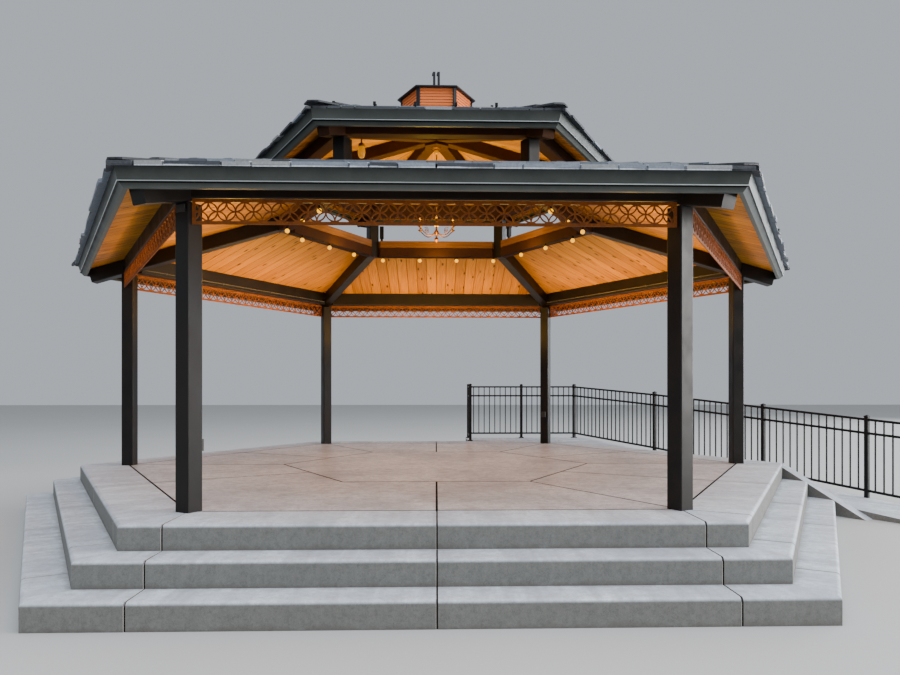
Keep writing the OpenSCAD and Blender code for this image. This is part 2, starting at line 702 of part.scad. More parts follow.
module cylinder_at(x, z, r, h) translate([x, 0, z]) cylinder(r = r, h = h);

// A round bulb hanging from a socket, turned from one profile
module bulb() rotate_extrude() intersection() {
    union() {
        translate([0, -socket_h]) square([bulb_d / 4, socket_h]);
        translate([0, -socket_h - bulb_d * 0.4]) circle(bulb_d / 2);
    }
    translate([0, -big]) square(big);
}

// A cable under each ring beam, near its outer edge at the front corners, with a bulb at each step
module festoon() color("gold")
    for (k = [0 : 5]) at_side(SIDES[k]) translate([0, -CABLE_LINES[k], ring_beam_z - cable_d / 2]) {
        half = CABLE_LINES[k] * half_side - cable_d;
        count = floor((2 * half - BULB_STARTS[k] - bulb_end) / bulb_pitch);
        translate([-half, 0, 0]) rotate([0, 90, 0]) cylinder(r = cable_d / 2, h = 2 * half);
        for (i = [0 : count]) translate([half - BULB_STARTS[k] - i * bulb_pitch, 0, 0]) bulb();
    }

// Two slim speaker boxes on the curb, and two lamp heads on arms beside them
module speaker_boxes() color("black") {
    corner_x = ring_ap * half_side;
    at_side(BACK) speaker(corner_x - speaker_near);
    at_side(BACK_LEFT) flood_lamp(flood_near - corner_x, upper_post_w / 2 - corner_x);
    at_side(BACK_RIGHT) {
        speaker(corner_x - speaker_far);
        flood_lamp(corner_x - flood_far, corner_x - speaker_far);
    }
}

// A box on a short foot
module speaker(x) translate([x, -ring_ap, clerestory_z]) {
    translate([-speaker_w / 2, -speaker_d / 2, speaker_lift]) cube([speaker_w, speaker_d, speaker_h]);
    translate([-speaker_foot / 2, -speaker_foot / 2, 0]) cube([speaker_foot, speaker_foot, speaker_lift + spare]);
}

// A round-backed lamp head at x on an arm that starts at x_from
module flood_lamp(x, x_from) translate([0, -ring_ap, clerestory_z + speaker_lift + speaker_h - flood_d / 2]) {
    translate([min(x, x_from), 0, 0]) rotate([0, 90, 0]) cylinder(r = flood_arm / 2, h = abs(x_from - x));
    translate([x, 0, 0]) sphere(flood_d / 2);
    translate([x, 0, 0]) rotate([90, 0, 0]) cylinder(r = flood_d / 2, h = flood_l);
}

// A covered socket on the inner face of two posts, and a junction plate near the top of one
module outlet_boxes() color("darkgray") {
    for (angle = [240, 60]) rotate([0, 0, angle])
        translate([post_circle_r - post_w / 2 - box_d, -box_w / 2, deck_z + box_z]) cube([box_d, box_w, box_h]);
    rotate([0, 0, 240]) translate([post_circle_r + post_w / 2, -plate_w / 2, frieze_z + plate_lift])
        cube([plate_t, plate_w, plate_h]);
}

plinth_core();
floor_slabs();
deck_border();
border_corners();
front_steps();
side_steps();
back_steps();
corner_steps();
landing();
ramp();
cheek_wall();
fence_posts();
fence_panels();
main_posts();
frieze_front();
frieze_front_left();
frieze_front_right();
frieze_back_left();
frieze_back_right();
frieze_back();
eave_beams();
hip_rafters();
lower_ceiling();
lower_roofing();
lower_gutter();
lower_hip_caps();
ring_beam();
ring_curb();
ring_flashing();
upper_posts();
upper_eave_beams();
upper_hip_rafters();
hub();
upper_ceiling();
upper_roofing();
upper_gutter();
upper_hip_caps();
cupola_siding();
cupola_corners();
cupola_cap();
finial();
chandelier();
festoon();
speaker_boxes();
outlet_boxes();
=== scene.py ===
import bmesh
import bpy
import numpy as np
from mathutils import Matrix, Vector


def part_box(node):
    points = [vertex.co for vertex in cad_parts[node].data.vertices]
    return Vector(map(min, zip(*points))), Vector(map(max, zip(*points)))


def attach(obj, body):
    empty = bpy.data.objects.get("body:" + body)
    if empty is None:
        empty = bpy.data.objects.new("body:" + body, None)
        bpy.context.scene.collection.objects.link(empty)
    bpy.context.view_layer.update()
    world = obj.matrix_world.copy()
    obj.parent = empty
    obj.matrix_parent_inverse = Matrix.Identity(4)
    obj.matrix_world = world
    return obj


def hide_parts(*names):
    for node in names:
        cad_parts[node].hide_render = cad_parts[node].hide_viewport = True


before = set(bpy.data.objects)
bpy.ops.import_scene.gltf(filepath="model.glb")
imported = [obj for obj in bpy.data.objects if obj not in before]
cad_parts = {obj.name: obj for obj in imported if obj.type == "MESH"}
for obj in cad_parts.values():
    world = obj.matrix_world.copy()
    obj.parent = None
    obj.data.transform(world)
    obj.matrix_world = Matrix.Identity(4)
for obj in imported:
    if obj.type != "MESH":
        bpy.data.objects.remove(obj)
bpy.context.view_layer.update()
rng = np.random.default_rng(7)

# Driving sizes, in metres. The rest is read from the frame.
SLOPE = 4 / 12
BOARD_T = 0.038
PACKING = 0.061
TILE_T = 0.025
STARTER_T = 0.010
COURSE = 0.330
HEAD_LAP = 0.075
TILE_WIDTHS = (0.14, 0.21, 0.28, 0.42)
TILE_JOGS = (0.0, 0.008, 0.022)
TILE_SKEW = 0.016
EAVE_INSET = 0.07
BOARD_W = 0.165
POST_W = 0.150
POST_R = 4.0
DECK_AP = 4.0151
TREAD = 0.300
RISER = 0.190
GUTTER_H = 0.100
TRIM_H = 0.042
GUTTER_BACK = 0.27
BULB_PITCH = 0.575
BULB_STARTS = (0.530, 0.565, 0.385, 0.255, 0.585, 0.125)
JOINT = 0.014
CABLE_D = 0.009
CABLE_INSET = 0.020
FENCE_H = 1.075
FENCE_W = 0.050
FENCE_START = 0.65
FENCE_DROPS = (0, 2.128, 4.256, 5.768, 7.280)
RAMP_W = 0.905
RAMP_RUN = 12
GUARD_ROWS = (0.26, 0.59)
GUARD_PITCH = 0.42
GUARD_SHIFT = -0.13
CAMERA_PLACE = (-0.0074, -9.0514, 1.5536)
CAMERA_YAW = -0.0265
CAMERA_LENS = 27.42
CAMERA_SHIFT = (-0.0045, 0.0577)
PITCH = np.arctan(SLOPE)
HALF_SIDE = np.tan(np.pi / 6)
HIP_PITCH = np.arctan(SLOPE * np.cos(np.pi / 6))
SIDES = np.arange(6) * np.pi / 3
FRONT, FRONT_LEFT, FRONT_RIGHT, BACK_LEFT, BACK_RIGHT, BACK = np.radians([0, -60, 60, -120, 120, 180])


# Meshes

def turned(points, angles=SIDES):
    """Copies of points drawn for the front, turned about Z: x cos t - y sin t and x sin t + y cos t."""
    cos, sin = np.cos(angles), np.sin(angles)
    shape = (-1,) + (1,) * (points.ndim - 1)
    cos, sin = cos.reshape(shape), sin.reshape(shape)
    x, y, z = points[..., 0], points[..., 1], points[..., 2]
    return np.stack([x * cos - y * sin, x * sin + y * cos, np.broadcast_to(z, (len(angles),) + z.shape)], -1)


def tube_faces(rings, around):
    """Quads between closed rings of points, ring r joined to ring r + 1, and a cap on each end ring."""
    r, k = np.meshgrid(np.arange(rings - 1), np.arange(around), indexing="ij")
    after = (k + 1) % around
    quads = np.stack([r * around + k, r * around + after, (r + 1) * around + after, (r + 1) * around + k], -1)
    caps = [list(range(around))[::-1], list(range((rings - 1) * around, rings * around))]
    return quads.reshape(-1, 4).tolist() + caps


def repeated(faces, count, points):
    """The faces of one copy, numbered again for each of count copies that have so many points each."""
    return [[v + points * i for v in face] for i in range(count) for face in faces]


def placed(name, data):
    """A new object, put in the scene."""
    made = bpy.data.objects.new(name, data)
    bpy.context.scene.collection.objects.link(made)
    return made


def piece(name, points, faces, material, slot, stands_for=(), uv=None, smooth=None, **marks):
    """A finished mesh riding on the root. uv and any marks are given a point at a time, and smooth in degrees."""
    mesh = bpy.data.meshes.new(name)
    mesh.from_pydata(np.asarray(points).reshape(-1, 3).tolist(), [], faces)
    editable = bmesh.new()
    editable.from_mesh(mesh)
    bmesh.ops.recalc_face_normals(editable, faces=editable.faces)
    editable.to_mesh(mesh)
    editable.free()
    corners = np.empty(len(mesh.loops), np.int32)
    mesh.loops.foreach_get("vertex_index", corners)
    if uv is not None:
        layer = mesh.uv_layers.new(name="UVMap")
        layer.data.foreach_set("uv", np.asarray(uv, np.float32).reshape(-1, 2)[corners].ravel())
    for mark, values in marks.items():
        layer = mesh.attributes.new(mark, "FLOAT", "POINT")
        layer.data.foreach_set("value", np.asarray(values, np.float32).ravel())
    mesh.materials.append(material)
    if smooth is not None:
        mesh.shade_smooth()
        mesh.set_sharp_from_angle(angle=np.radians(smooth))
    mesh.update()
    made = placed(name, mesh)
    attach(made, "root")
    if stands_for:
        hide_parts(*stands_for)


def joined(parts):
    """One list of points and one of faces from several (points, faces) pairs."""
    points, faces, start = [], [], 0
    for p, f in parts:
        p = np.asarray(p, float).reshape(-1, 3)
        points.append(p)
        faces += [[v + start for v in face] for face in f]
        start += len(p)
    return np.concatenate(points), faces


def block(low, high, edge=0.002):
    """A box with its twelve edges cut at 45 degrees, as four rings of eight points."""
    (x0, y0, z0), (x1, y1, z1) = low, high
    rings = []
    for z, cut in ((z0, edge), (z0 + edge, 0), (z1 - edge, 0), (z1, edge)):
        a, b, c, d, e = x0 + cut, x1 - cut, y0 + cut, y1 - cut, edge
        rings.append([(a + e, c, z), (b - e, c, z), (b, c + e, z), (b, d - e, z),
                      (b - e, d, z), (a + e, d, z), (a, d - e, z), (a, c + e, z)])
    return np.array(rings), tube_faces(4, 8)


def drawn_out(outline, x0, x1):
    """An outline of (distance from the middle, height) points drawn out along the front from x0 to x1."""
    outline = np.array(outline, float)
    ends = [np.stack([np.full(len(outline), x), -outline[:, 0], outline[:, 1]], -1) for x in (x0, x1)]
    return np.array(ends), tube_faces(2, len(outline))


def scattered(part, places):
    """Copies of one (points, faces) part moved to each of several places."""
    points = np.asarray(part[0], float).reshape(-1, 3)
    places = np.asarray(places, float).reshape(-1, 3)
    return places[:, None] + points, repeated(part[1], len(places), len(points))


def faced(part, angle):
    """A (points, faces) part drawn for the front, turned to another side."""
    return turned(np.asarray(part[0], float), np.array([angle]))[0], part[1]


def hex_ring(profile):
    """A closed profile of (distance from the middle, height) carried round the six corners and closed."""
    profile = np.array(profile, float)
    angles = -np.pi / 2 + (np.arange(6) + 0.5) * np.pi / 3
    radius = profile[:, 0] / np.cos(np.pi / 6)
    points = np.stack([np.cos(angles)[:, None] * radius, np.sin(angles)[:, None] * radius,
                       np.broadcast_to(profile[:, 1], (6, len(profile)))], -1)
    n = len(profile)
    c, k = np.meshgrid(np.arange(6), np.arange(n), indexing="ij")
    quads = np.stack([c * n + k, (c + 1) % 6 * n + k, (c + 1) % 6 * n + (k + 1) % n, c * n + (k + 1) % n], -1)
    return points, quads.reshape(-1, 4).tolist()


def rod(path, radius, around=10, tip=1.0):
    """A round bar along a path: at each point a ring square to the path, narrowing to tip times its radius."""
    path = np.asarray(path, float)
    along = np.gradient(path, axis=0)
    along /= np.linalg.norm(along, axis=1)[:, None]
    up = np.where(np.abs(along[:, 2:3]) > 0.9, [[1.0, 0, 0]], [[0, 0, 1.0]])
    side = np.cross(along, up)
    side /= np.linalg.norm(side, axis=1)[:, None]
    lift = np.cross(side, along)
    angles = np.arange(around) / around * 2 * np.pi
    width = radius * np.linspace(1, tip, len(path))
    ring = np.cos(angles)[None, :, None] * side[:, None] + np.sin(angles)[None, :, None] * lift[:, None]
    return path[:, None] + ring * width[:, None, None], tube_faces(len(path), around)


def turned_profile(profile, around=16, centre=(0, 0, 0)):
    """A profile of (radius, height) points turned about an upright axis, closed at both ends."""
    profile = np.array(profile, float)
    angles = np.arange(around) / around * 2 * np.pi
    ring = np.stack([np.cos(angles), np.sin(angles), np.zeros(around)], -1)
    points = profile[:, None, :1] * ring + np.array([0, 0, 1.0]) * profile[:, None, 1:] + np.array(centre)
    return points, tube_faces(len(profile), around)


# Materials

def add(tree, kind, inputs=None, **settings):
    """A new node with its settings made and its inputs set to values or linked to sockets."""
    made = tree.nodes.new(kind)
    for key, value in settings.items():
        setattr(made, key, value)
    for key, value in (inputs or {}).items():
        if isinstance(value, bpy.types.NodeSocket):
            tree.links.new(value, made.inputs[key])
        else:
            made.inputs[key].default_value = value
    return made


def maths(tree, operation, a, b=0.0):
    """One arithmetic step on two values."""
    return add(tree, "ShaderNodeMath", {0: a, 1: b}, operation=operation).outputs[0]


def times(tree, a, b):
    """The product of two values."""
    return maths(tree, "MULTIPLY", a, b)


def blend(tree, amount, a, b, how="MIX"):
    """Colour a going over to colour b by amount."""
    made = add(tree, "ShaderNodeMix", {0: amount}, data_type="RGBA", blend_type=how)
    for index, value in ((6, a), (7, b)):
        if isinstance(value, bpy.types.NodeSocket):
            tree.links.new(value, made.inputs[index])
        else:
            made.inputs[index].default_value = (*value, 1)
    return made.outputs[2]


def span(tree, value, low, high, out_low=0.0, out_high=1.0):
    """A value mapped from one range to another and held inside it."""
    return add(tree, "ShaderNodeMapRange", {0: value, 1: low, 2: high, 3: out_low, 4: out_high}).outputs[0]


def noise(tree, vector, scale, detail=4.0, roughness=0.5, distortion=0.0):
    """Fractal noise on a vector, as one value."""
    return add(tree, "ShaderNodeTexNoise", {"Vector": vector, "Scale": scale, "Detail": detail,
                                            "Roughness": roughness, "Distortion": distortion}).outputs[0]


def ramp(tree, value, stops):
    """The colour that a value picks from stops of (value, colour), going over from one to the next."""
    made = add(tree, "ShaderNodeValToRGB", {0: value})
    elements = made.color_ramp.elements
    while len(elements) < len(stops):
        elements.new(0.5)
    for element, (at, colour) in zip(elements, stops):
        element.position, element.color = at, (*colour, 1)
    return made.outputs[0]


def stretched(tree, vector, scale):
    """A vector with each axis multiplied by its own scale."""
    return add(tree, "ShaderNodeVectorMath", {0: vector, 1: scale}, operation="MULTIPLY").outputs[0]


def object_place(tree):
    """The place on the surface in metres, in the object's own frame."""
    return add(tree, "ShaderNodeTexCoord").outputs["Object"]


def carried(tree, name):
    """A value that the mesh carries at each point."""
    return add(tree, "ShaderNodeAttribute", attribute_name=name).outputs["Fac"]


def group(name, inputs, outputs):
    """A new shader node group, with its input sockets and its output sockets ready to link."""
    made = bpy.data.node_groups.new(name, "ShaderNodeTree")
    kinds = {"v": "NodeSocketVector", "f": "NodeSocketFloat", "c": "NodeSocketColor"}
    for socket, kind in outputs:
        made.interface.new_socket(socket, in_out="OUTPUT", socket_type=kinds[kind])
    for socket, kind in inputs:
        made.interface.new_socket(socket, in_out="INPUT", socket_type=kinds[kind])
    return made, made.nodes.new("NodeGroupInput").outputs, made.nodes.new("NodeGroupOutput").inputs


def use(tree, made, inputs):
    """The group placed in a material with its own values."""
    return add(tree, "ShaderNodeGroup", inputs, node_tree=made).outputs


def nearest_side_group():
    """The place seen from its own side of the six: along that side, towards the middle, and height.

    The side is the bearing plus a quarter turn, rounded to sixths of a turn, and the place is turned back by it.
    """
    made, given, result = group("nearest_side", [("Place", "v")], [("Place", "v")])
    parts = add(made, "ShaderNodeSeparateXYZ", {0: given["Place"]}).outputs
    bearing = maths(made, "ADD", maths(made, "ARCTAN2", parts[1], parts[0]), np.pi / 2)
    sixth = times(made, maths(made, "ROUND", maths(made, "DIVIDE", bearing, np.pi / 3)), -np.pi / 3)
    turn = add(made, "ShaderNodeVectorRotate", {"Vector": given["Place"], "Angle": sixth}, rotation_type="Z_AXIS")
    made.links.new(turn.outputs[0], result["Place"])
    return made


def mottle_group():
    """Broad cloudy patches with finer ones inside them, from 0 to 1."""
    made, given, result = group("mottle", [("Place", "v"), ("Scale", "f")], [("Patches", "f"), ("Fine", "f")])
    broad = noise(made, given["Place"], given["Scale"], 5, 0.6, 0.3)
    fine = noise(made, given["Place"], times(made, given["Scale"], 9.0), 4, 0.65)
    made.links.new(span(made, broad, 0.3, 0.7), result["Patches"])
    made.links.new(span(made, fine, 0.3, 0.7), result["Fine"])
    return made


def grit_group():
    """Sand in a cast surface: small round grains, and rare air holes, as a height and a mask."""
    made, given, result = group("grit", [("Place", "v")], [("Height", "f"), ("Pits", "f")])
    grains = add(made, "ShaderNodeTexVoronoi", {"Vector": given["Place"], "Scale": 260.0}).outputs["Distance"]
    holes = add(made, "ShaderNodeTexVoronoi", {"Vector": given["Place"], "Scale": 22.0}).outputs["Distance"]
    pits = span(made, holes, 0.05, 0.09, 1.0, 0.0)
    height = maths(made, "SUBTRACT", times(made, grains, 0.5), pits)
    made.links.new(height, result["Height"])
    made.links.new(pits, result["Pits"])
    return made


def facing_up(tree):
    """How far a face looks up: the height part of its true normal, 1 for level and 0 for upright."""
    normal = add(tree, "ShaderNodeNewGeometry").outputs["True Normal"]
    return add(tree, "ShaderNodeSeparateXYZ", {0: normal}).outputs[2]


def broomed_group():
    """Lines left by a broom drawn outwards over a tread: noise stretched 40 to 1 towards the middle."""
    made, given, result = group("broomed", [("Place", "v")], [("Lines", "f"), ("Passes", "f")])
    lines = noise(made, stretched(made, given["Place"], (170.0, 4.0, 60.0)), 1.0, 3, 0.6)
    passes = noise(made, stretched(made, given["Place"], (8.0, 0.9, 1.5)), 1.0, 3, 0.55, 0.4)
    made.links.new(lines, result["Lines"])
    made.links.new(span(made, passes, 0.35, 0.65), result["Passes"])
    return made


def corner_grime_and_shade_group():
    """Grime and painted shade in the corners: at the foot of each riser and the back of each tread, with a ragged edge.

    The height over RISER, and the distance past the deck's edge over TREAD, are each cut to their fraction, which
    is 0 at the foot and at the back.
    """
    made, given, result = group("corner_grime_and_shade", [("Place", "v")], [("Foot", "f"), ("Back", "f")])
    parts = add(made, "ShaderNodeSeparateXYZ", {0: given["Place"]}).outputs
    ragged = noise(made, given["Place"], 6.0, 5, 0.7)
    foot = maths(made, "FRACT", maths(made, "DIVIDE", parts[2], RISER))
    past = maths(made, "SUBTRACT", times(made, parts[1], -1.0), DECK_AP)
    back = maths(made, "FRACT", maths(made, "DIVIDE", past, TREAD))
    reach = span(made, ragged, 0.35, 0.7, 0.03, 0.40)
    made.links.new(span(made, foot, 0.0, reach, 1.0, 0.0), result["Foot"])
    made.links.new(times(made, span(made, back, 0.0, reach, 1.0, 0.0),
                         maths(made, "GREATER_THAN", past, 0.0)), result["Back"])
    return made


def paint_skin_group():
    """The slight orange peel of sprayed paint, and dull patches where weather has reached it."""
    made, given, result = group("paint_skin", [("Place", "v")], [("Peel", "f"), ("Dull", "f")])
    made.links.new(noise(made, given["Place"], 240.0, 2), result["Peel"])
    made.links.new(span(made, noise(made, given["Place"], 3.5, 6, 0.65), 0.35, 0.7), result["Dull"])
    return made


def pine_group():
    """Flat-sawn pine along V: growth lines that bend round knots, and the knots as a mask.

    Each knot is a point of a stretched cell pattern. The distance to it pushes the growth lines aside, and the
    lines are noise that is fifty times finer across the board than along it.
    """
    made, given, result = group("pine", [("Place", "v")], [("Grain", "f"), ("Knots", "f"), ("Broad", "f")])
    cells = add(made, "ShaderNodeTexVoronoi", {"Vector": stretched(made, given["Place"], (6.5, 2.0, 1.0)),
                                               "Scale": 1.0, "Randomness": 0.9}, voronoi_dimensions="2D")
    near = cells.outputs["Distance"]
    rare = add(made, "ShaderNodeSeparateColor", {0: cells.outputs["Color"]}).outputs[0]
    chosen = span(made, rare, 0.42, 0.46)
    push = times(made, span(made, near, 0.0, 0.5, 0.05, 0.0), chosen)
    shift = add(made, "ShaderNodeCombineXYZ", {0: push})
    bent = add(made, "ShaderNodeVectorMath", {0: given["Place"], 1: shift.outputs[0]}, operation="ADD").outputs[0]
    grain = noise(made, stretched(made, bent, (75.0, 1.6, 1.0)), 1.0, 5, 0.6, 0.2)
    broad = noise(made, stretched(made, given["Place"], (9.0, 0.8, 1.0)), 1.0, 3, 0.5)
    ragged = maths(made, "ADD", near, span(made, grain, 0.3, 0.7, -0.02, 0.02))
    knots = times(made, span(made, ragged, 0.06, 0.12, 1.0, 0.0), chosen)
    made.links.new(span(made, grain, 0.36, 0.64), result["Grain"])
    made.links.new(knots, result["Knots"])
    made.links.new(span(made, broad, 0.3, 0.7), result["Broad"])
    return made


NEAREST_SIDE = nearest_side_group()
MOTTLE = mottle_group()
GRIT = grit_group()
BROOMED = broomed_group()
CORNER_GRIME_AND_SHADE = corner_grime_and_shade_group()
PAINT_SKIN = paint_skin_group()
PINE = pine_group()


def finish(name, **sockets):
    """A material and its surface shader, whose even sockets are set at once."""
    material = bpy.data.materials.new(name)
    material.use_nodes = True
    tree = material.node_tree
    shader = tree.nodes["Principled BSDF"]
    for socket, value in sockets.items():
        shader.inputs[socket.replace("_", " ")].default_value = value
    return material, tree, shader


def coat(tree, shader, colour, mask, smooth, rough):
    """A colour, and a roughness that goes over from smooth to rough by a mask."""
    tree.links.new(colour, shader.inputs["Base Color"])
    tree.links.new(span(tree, mask, 0.0, 1.0, smooth, rough), shader.inputs["Roughness"])


def bump(tree, shader, height, distance):
    """A height in units of distance, in metres, as relief on the shader's normal."""
    made = add(tree, "ShaderNodeBump", {"Height": height, "Distance": distance})
    tree.links.new(made.outputs[0], shader.inputs["Normal"])


def concrete(name, light, dark, stain, formed_and_shaded, broom, steps=0.0, sealed=0.0):
    """Cast concrete: cloudy paste, sand and air holes, broomed on top and left from its form where it stands.

    What faces up is told from what stands by the height part of the true normal. Upright faces are darker, partly from
    their form and partly as painted shade for light that falls from above, and have faint upright lines, from noise
    that changes along the side and hardly with height. Air holes are darkened as painted shade. The grime and painted
    shade in the corners of steps are laid on by steps, from 0 to 1, and sealed takes that much off the roughness.
    """
    material, tree, shader = finish(name)
    place = object_place(tree)
    side = use(tree, NEAREST_SIDE, {"Place": place})[0]
    clouds = use(tree, MOTTLE, {"Place": place, "Scale": 1.3})
    grit = use(tree, GRIT, {"Place": place})
    lines = use(tree, BROOMED, {"Place": side})
    colour = blend(tree, clouds["Patches"], light, dark)
    colour = blend(tree, times(tree, lines["Passes"], 0.5 * broom), colour, stain)
    colour = blend(tree, span(tree, clouds["Fine"], 0.35, 1.0, 0.0, 0.45), colour, stain)
    specks = span(tree, noise(tree, place, 30.0, 6, 1.0), 0.44, 0.60)
    colour = blend(tree, times(tree, specks, 0.5), colour, stain)
    # Grime and painted shade in the corners where treads meet risers, going towards a brown.
    grime_and_shade = use(tree, CORNER_GRIME_AND_SHADE, {"Place": side})
    earth_and_shade = tuple(c * k for c, k in zip(stain, (0.62, 0.52, 0.42)))
    # The back of each tread: grime and painted shade.
    colour = blend(tree, times(tree, grime_and_shade["Back"], 0.5 * steps), colour, earth_and_shade)
    upright = noise(tree, stretched(tree, side, (22.0, 1.0, 0.7)), 1.0, 3, 0.55)
    # Upright faces: darker, partly from the form and partly as painted shade for light that falls from above.
    standing = blend(tree, span(tree, upright, 0.3, 0.7), formed_and_shaded, tuple(0.88 * c for c in formed_and_shaded))
    standing = blend(tree, times(tree, specks, 0.75), standing, tuple(0.55 * c for c in formed_and_shaded))
    # The foot of each riser: grime and painted shade.
    standing = blend(tree, times(tree, grime_and_shade["Foot"], 0.6 * steps), standing, tuple(0.5 * c for c in earth_and_shade))
    colour = blend(tree, span(tree, facing_up(tree), 0.15, 0.7), standing, colour)
    # Air holes darkened: painted shade inside the holes.
    colour = blend(tree, times(tree, grit["Pits"], 0.6), colour, tuple(0.35 * c for c in dark))
    coat(tree, shader, colour, clouds["Fine"], 0.72 - sealed, 0.92 - sealed)
    height = maths(tree, "ADD", times(tree, grit["Height"], 0.5), times(tree, lines["Lines"], broom))
    bump(tree, shader, height, 0.0012)
    return material


def painted(name, colour, worn, roughness, metallic=0.0, shine=0.5, gutter=None):
    """Sprayed paint on steel, with dull weathered patches.

    On a gutter it has painted shade under the upper lip, a painted shadow line in the gap below the bead, and a
    paler painted highlight towards the drip edges.
    There, the height over the foot of the node, as a fraction of its whole height, picks what the doubled
    colour is multiplied by.
    """
    material, tree, shader = finish(name, Metallic=metallic, Specular_IOR_Level=shine)
    place = object_place(tree)
    skin = use(tree, PAINT_SKIN, {"Place": place})
    if gutter:
        colour, worn = (tuple(2 * c for c in paint) for paint in (colour, worn))
    paint = blend(tree, skin["Dull"], colour, worn)
    if gutter:
        low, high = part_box(gutter)
        rise = span(tree, add(tree, "ShaderNodeSeparateXYZ", {0: place}).outputs["Z"], low.z, high.z)
        # Painted light and shade on the gutter's face: shade under the upper lip, a shadow line in the gap below the
        # bead, and a paler highlight towards the drip edges.
        bead, gap, bead_shadow = TRIM_H / (high.z - low.z), 0.07, 0.03
        stops = ((0.0, 0.75), (bead * 0.6, 0.4), (bead - gap - 0.005, 0.35), (bead - gap, bead_shadow), (bead, bead_shadow),
                 (bead + 0.01, 0.625), (bead + 0.3, 0.45), (1.0, 0.225))
        shades = ramp(tree, rise, [(at, (shade, shade, shade)) for at, shade in stops])
        paint = blend(tree, 1.0, paint, shades, "MULTIPLY")
    coat(tree, shader, paint, skin["Dull"], roughness, roughness + 0.18)
    bump(tree, shader, skin["Peel"], 0.0002)
    return material


def boards(name, light, dark, knot):
    """Pine boards, whose grain follows each board's own UV.

    Tone shifts one board from the next, and the cut corners of the joints, marked by groove, are in shade.
    """
    material, tree, shader = finish(name, Specular_IOR_Level=0.3)
    place = add(tree, "ShaderNodeUVMap", uv_map="UVMap").outputs[0]
    pine = use(tree, PINE, {"Place": place})
    colour = blend(tree, pine["Grain"], light, dark)
    warm = blend(tree, times(tree, pine["Broad"], 0.6), colour, tuple(0.8 * c for c in light))
    shade = blend(tree, carried(tree, "tone"), (0.74, 0.70, 0.66), (1.14, 1.13, 1.1))
    toned = blend(tree, 1.0, warm, shade, "MULTIPLY")
    knotty = blend(tree, pine["Knots"], toned, knot)
    grooved = blend(tree, times(tree, carried(tree, "groove"), 0.85), knotty, knot)
    coat(tree, shader, grooved, pine["Grain"], 0.42, 0.62)
    bump(tree, shader, pine["Grain"], 0.0006)
    return material


def stained_timber(name, light, dark):
    """Sawn timber with a dark stain, its grain along the side that it stands on."""
    material, tree, shader = finish(name, Roughness=0.65, Specular_IOR_Level=0.15)
    side = use(tree, NEAREST_SIDE, {"Place": object_place(tree)})[0]
    grain = noise(tree, stretched(tree, side, (2.5, 60.0, 60.0)), 1.0, 5, 0.6, 0.2)
    tree.links.new(blend(tree, span(tree, grain, 0.3, 0.7), light, dark), shader.inputs["Base Color"])
    bump(tree, shader, grain, 0.001)
    return material


def roof_tile(name):
    """Split-faced concrete tile: slate greys that change from tile to tile, riven across its face.

    Butts and edges, told by a true normal that looks up less than the roof does, are painted pale as a reflection of
    the sky. Along the eave, marked by eave, the noses of the pale ones get a paler painted highlight.
    """
    material, tree, shader = finish(name, Specular_IOR_Level=0.4)
    place = object_place(tree)
    tone = carried(tree, "tone")
    clouds = use(tree, MOTTLE, {"Place": place, "Scale": 6.0})
    riven = ramp(tree, tone, ((0.0, (0.045, 0.050, 0.056)), (0.35, (0.085, 0.095, 0.105)),
                              (0.7, (0.13, 0.14, 0.155)), (1.0, (0.19, 0.185, 0.21))))
    colour = blend(tree, times(tree, clouds["Patches"], 0.45), riven, (0.05, 0.052, 0.05))
    colour = blend(tree, span(tree, clouds["Fine"], 0.5, 1.0, 0.0, 0.35), colour, (0.24, 0.25, 0.26))
    # Butts and edges: a painted reflection of the sky, in greys that go from dark to pale with the tone.
    cut = ramp(tree, tone, ((0.0, (0.020, 0.022, 0.026)), (0.15, (0.030, 0.034, 0.042)), (0.3, (0.16, 0.19, 0.23)),
                            (0.6, (0.27, 0.31, 0.37)), (0.8, (0.38, 0.37, 0.34)), (1.0, (0.66, 0.70, 0.77))))
    face = blend(tree, times(tree, clouds["Fine"], 0.5), cut, (0.10, 0.11, 0.13))
    up = facing_up(tree)
    # Noses of the pale eave tiles: a painted highlight.
    pale = times(tree, span(tree, tone, 0.1, 0.2), carried(tree, "eave"))
    nose = times(tree, span(tree, up, 0.2, 0.4), pale)
    face = blend(tree, times(tree, nose, 0.75), face, (0.55, 0.59, 0.65))
    colour = blend(tree, span(tree, up, 0.84, 0.93), face, colour)
    coat(tree, shader, colour, clouds["Fine"], 0.5, 0.75)
    bump(tree, shader, noise(tree, place, 28.0, 6, 0.6), 0.003)
    return material


def rusted_plate(name):
    """Cut steel plate left to rust: brown bloom over darker scale."""
    material, tree, shader = finish(name, Specular_IOR_Level=0.25)
    place = object_place(tree)
    clouds = use(tree, MOTTLE, {"Place": place, "Scale": 9.0})
    colour = blend(tree, clouds["Patches"], (0.23, 0.060, 0.005), (0.12, 0.030, 0.003))
    colour = blend(tree, span(tree, clouds["Fine"], 0.45, 1.0, 0.0, 0.6), colour, (0.34, 0.100, 0.007))
    coat(tree, shader, colour, clouds["Fine"], 0.55, 0.8)
    bump(tree, shader, clouds["Fine"], 0.0008)
    return material


def glowing(name, colour, strength):
    """Warm glass that gives light, a little uneven over its surface."""
    material, tree, shader = finish(name, Roughness=0.25, Emission_Strength=strength)
    shader.inputs["Base Color"].default_value = (*(0.2 * c for c in colour), 1)
    uneven = noise(tree, object_place(tree), 30.0, 2)
    tree.links.new(blend(tree, uneven, colour, tuple(0.8 * c for c in colour)), shader.inputs["Emission Color"])
    return material


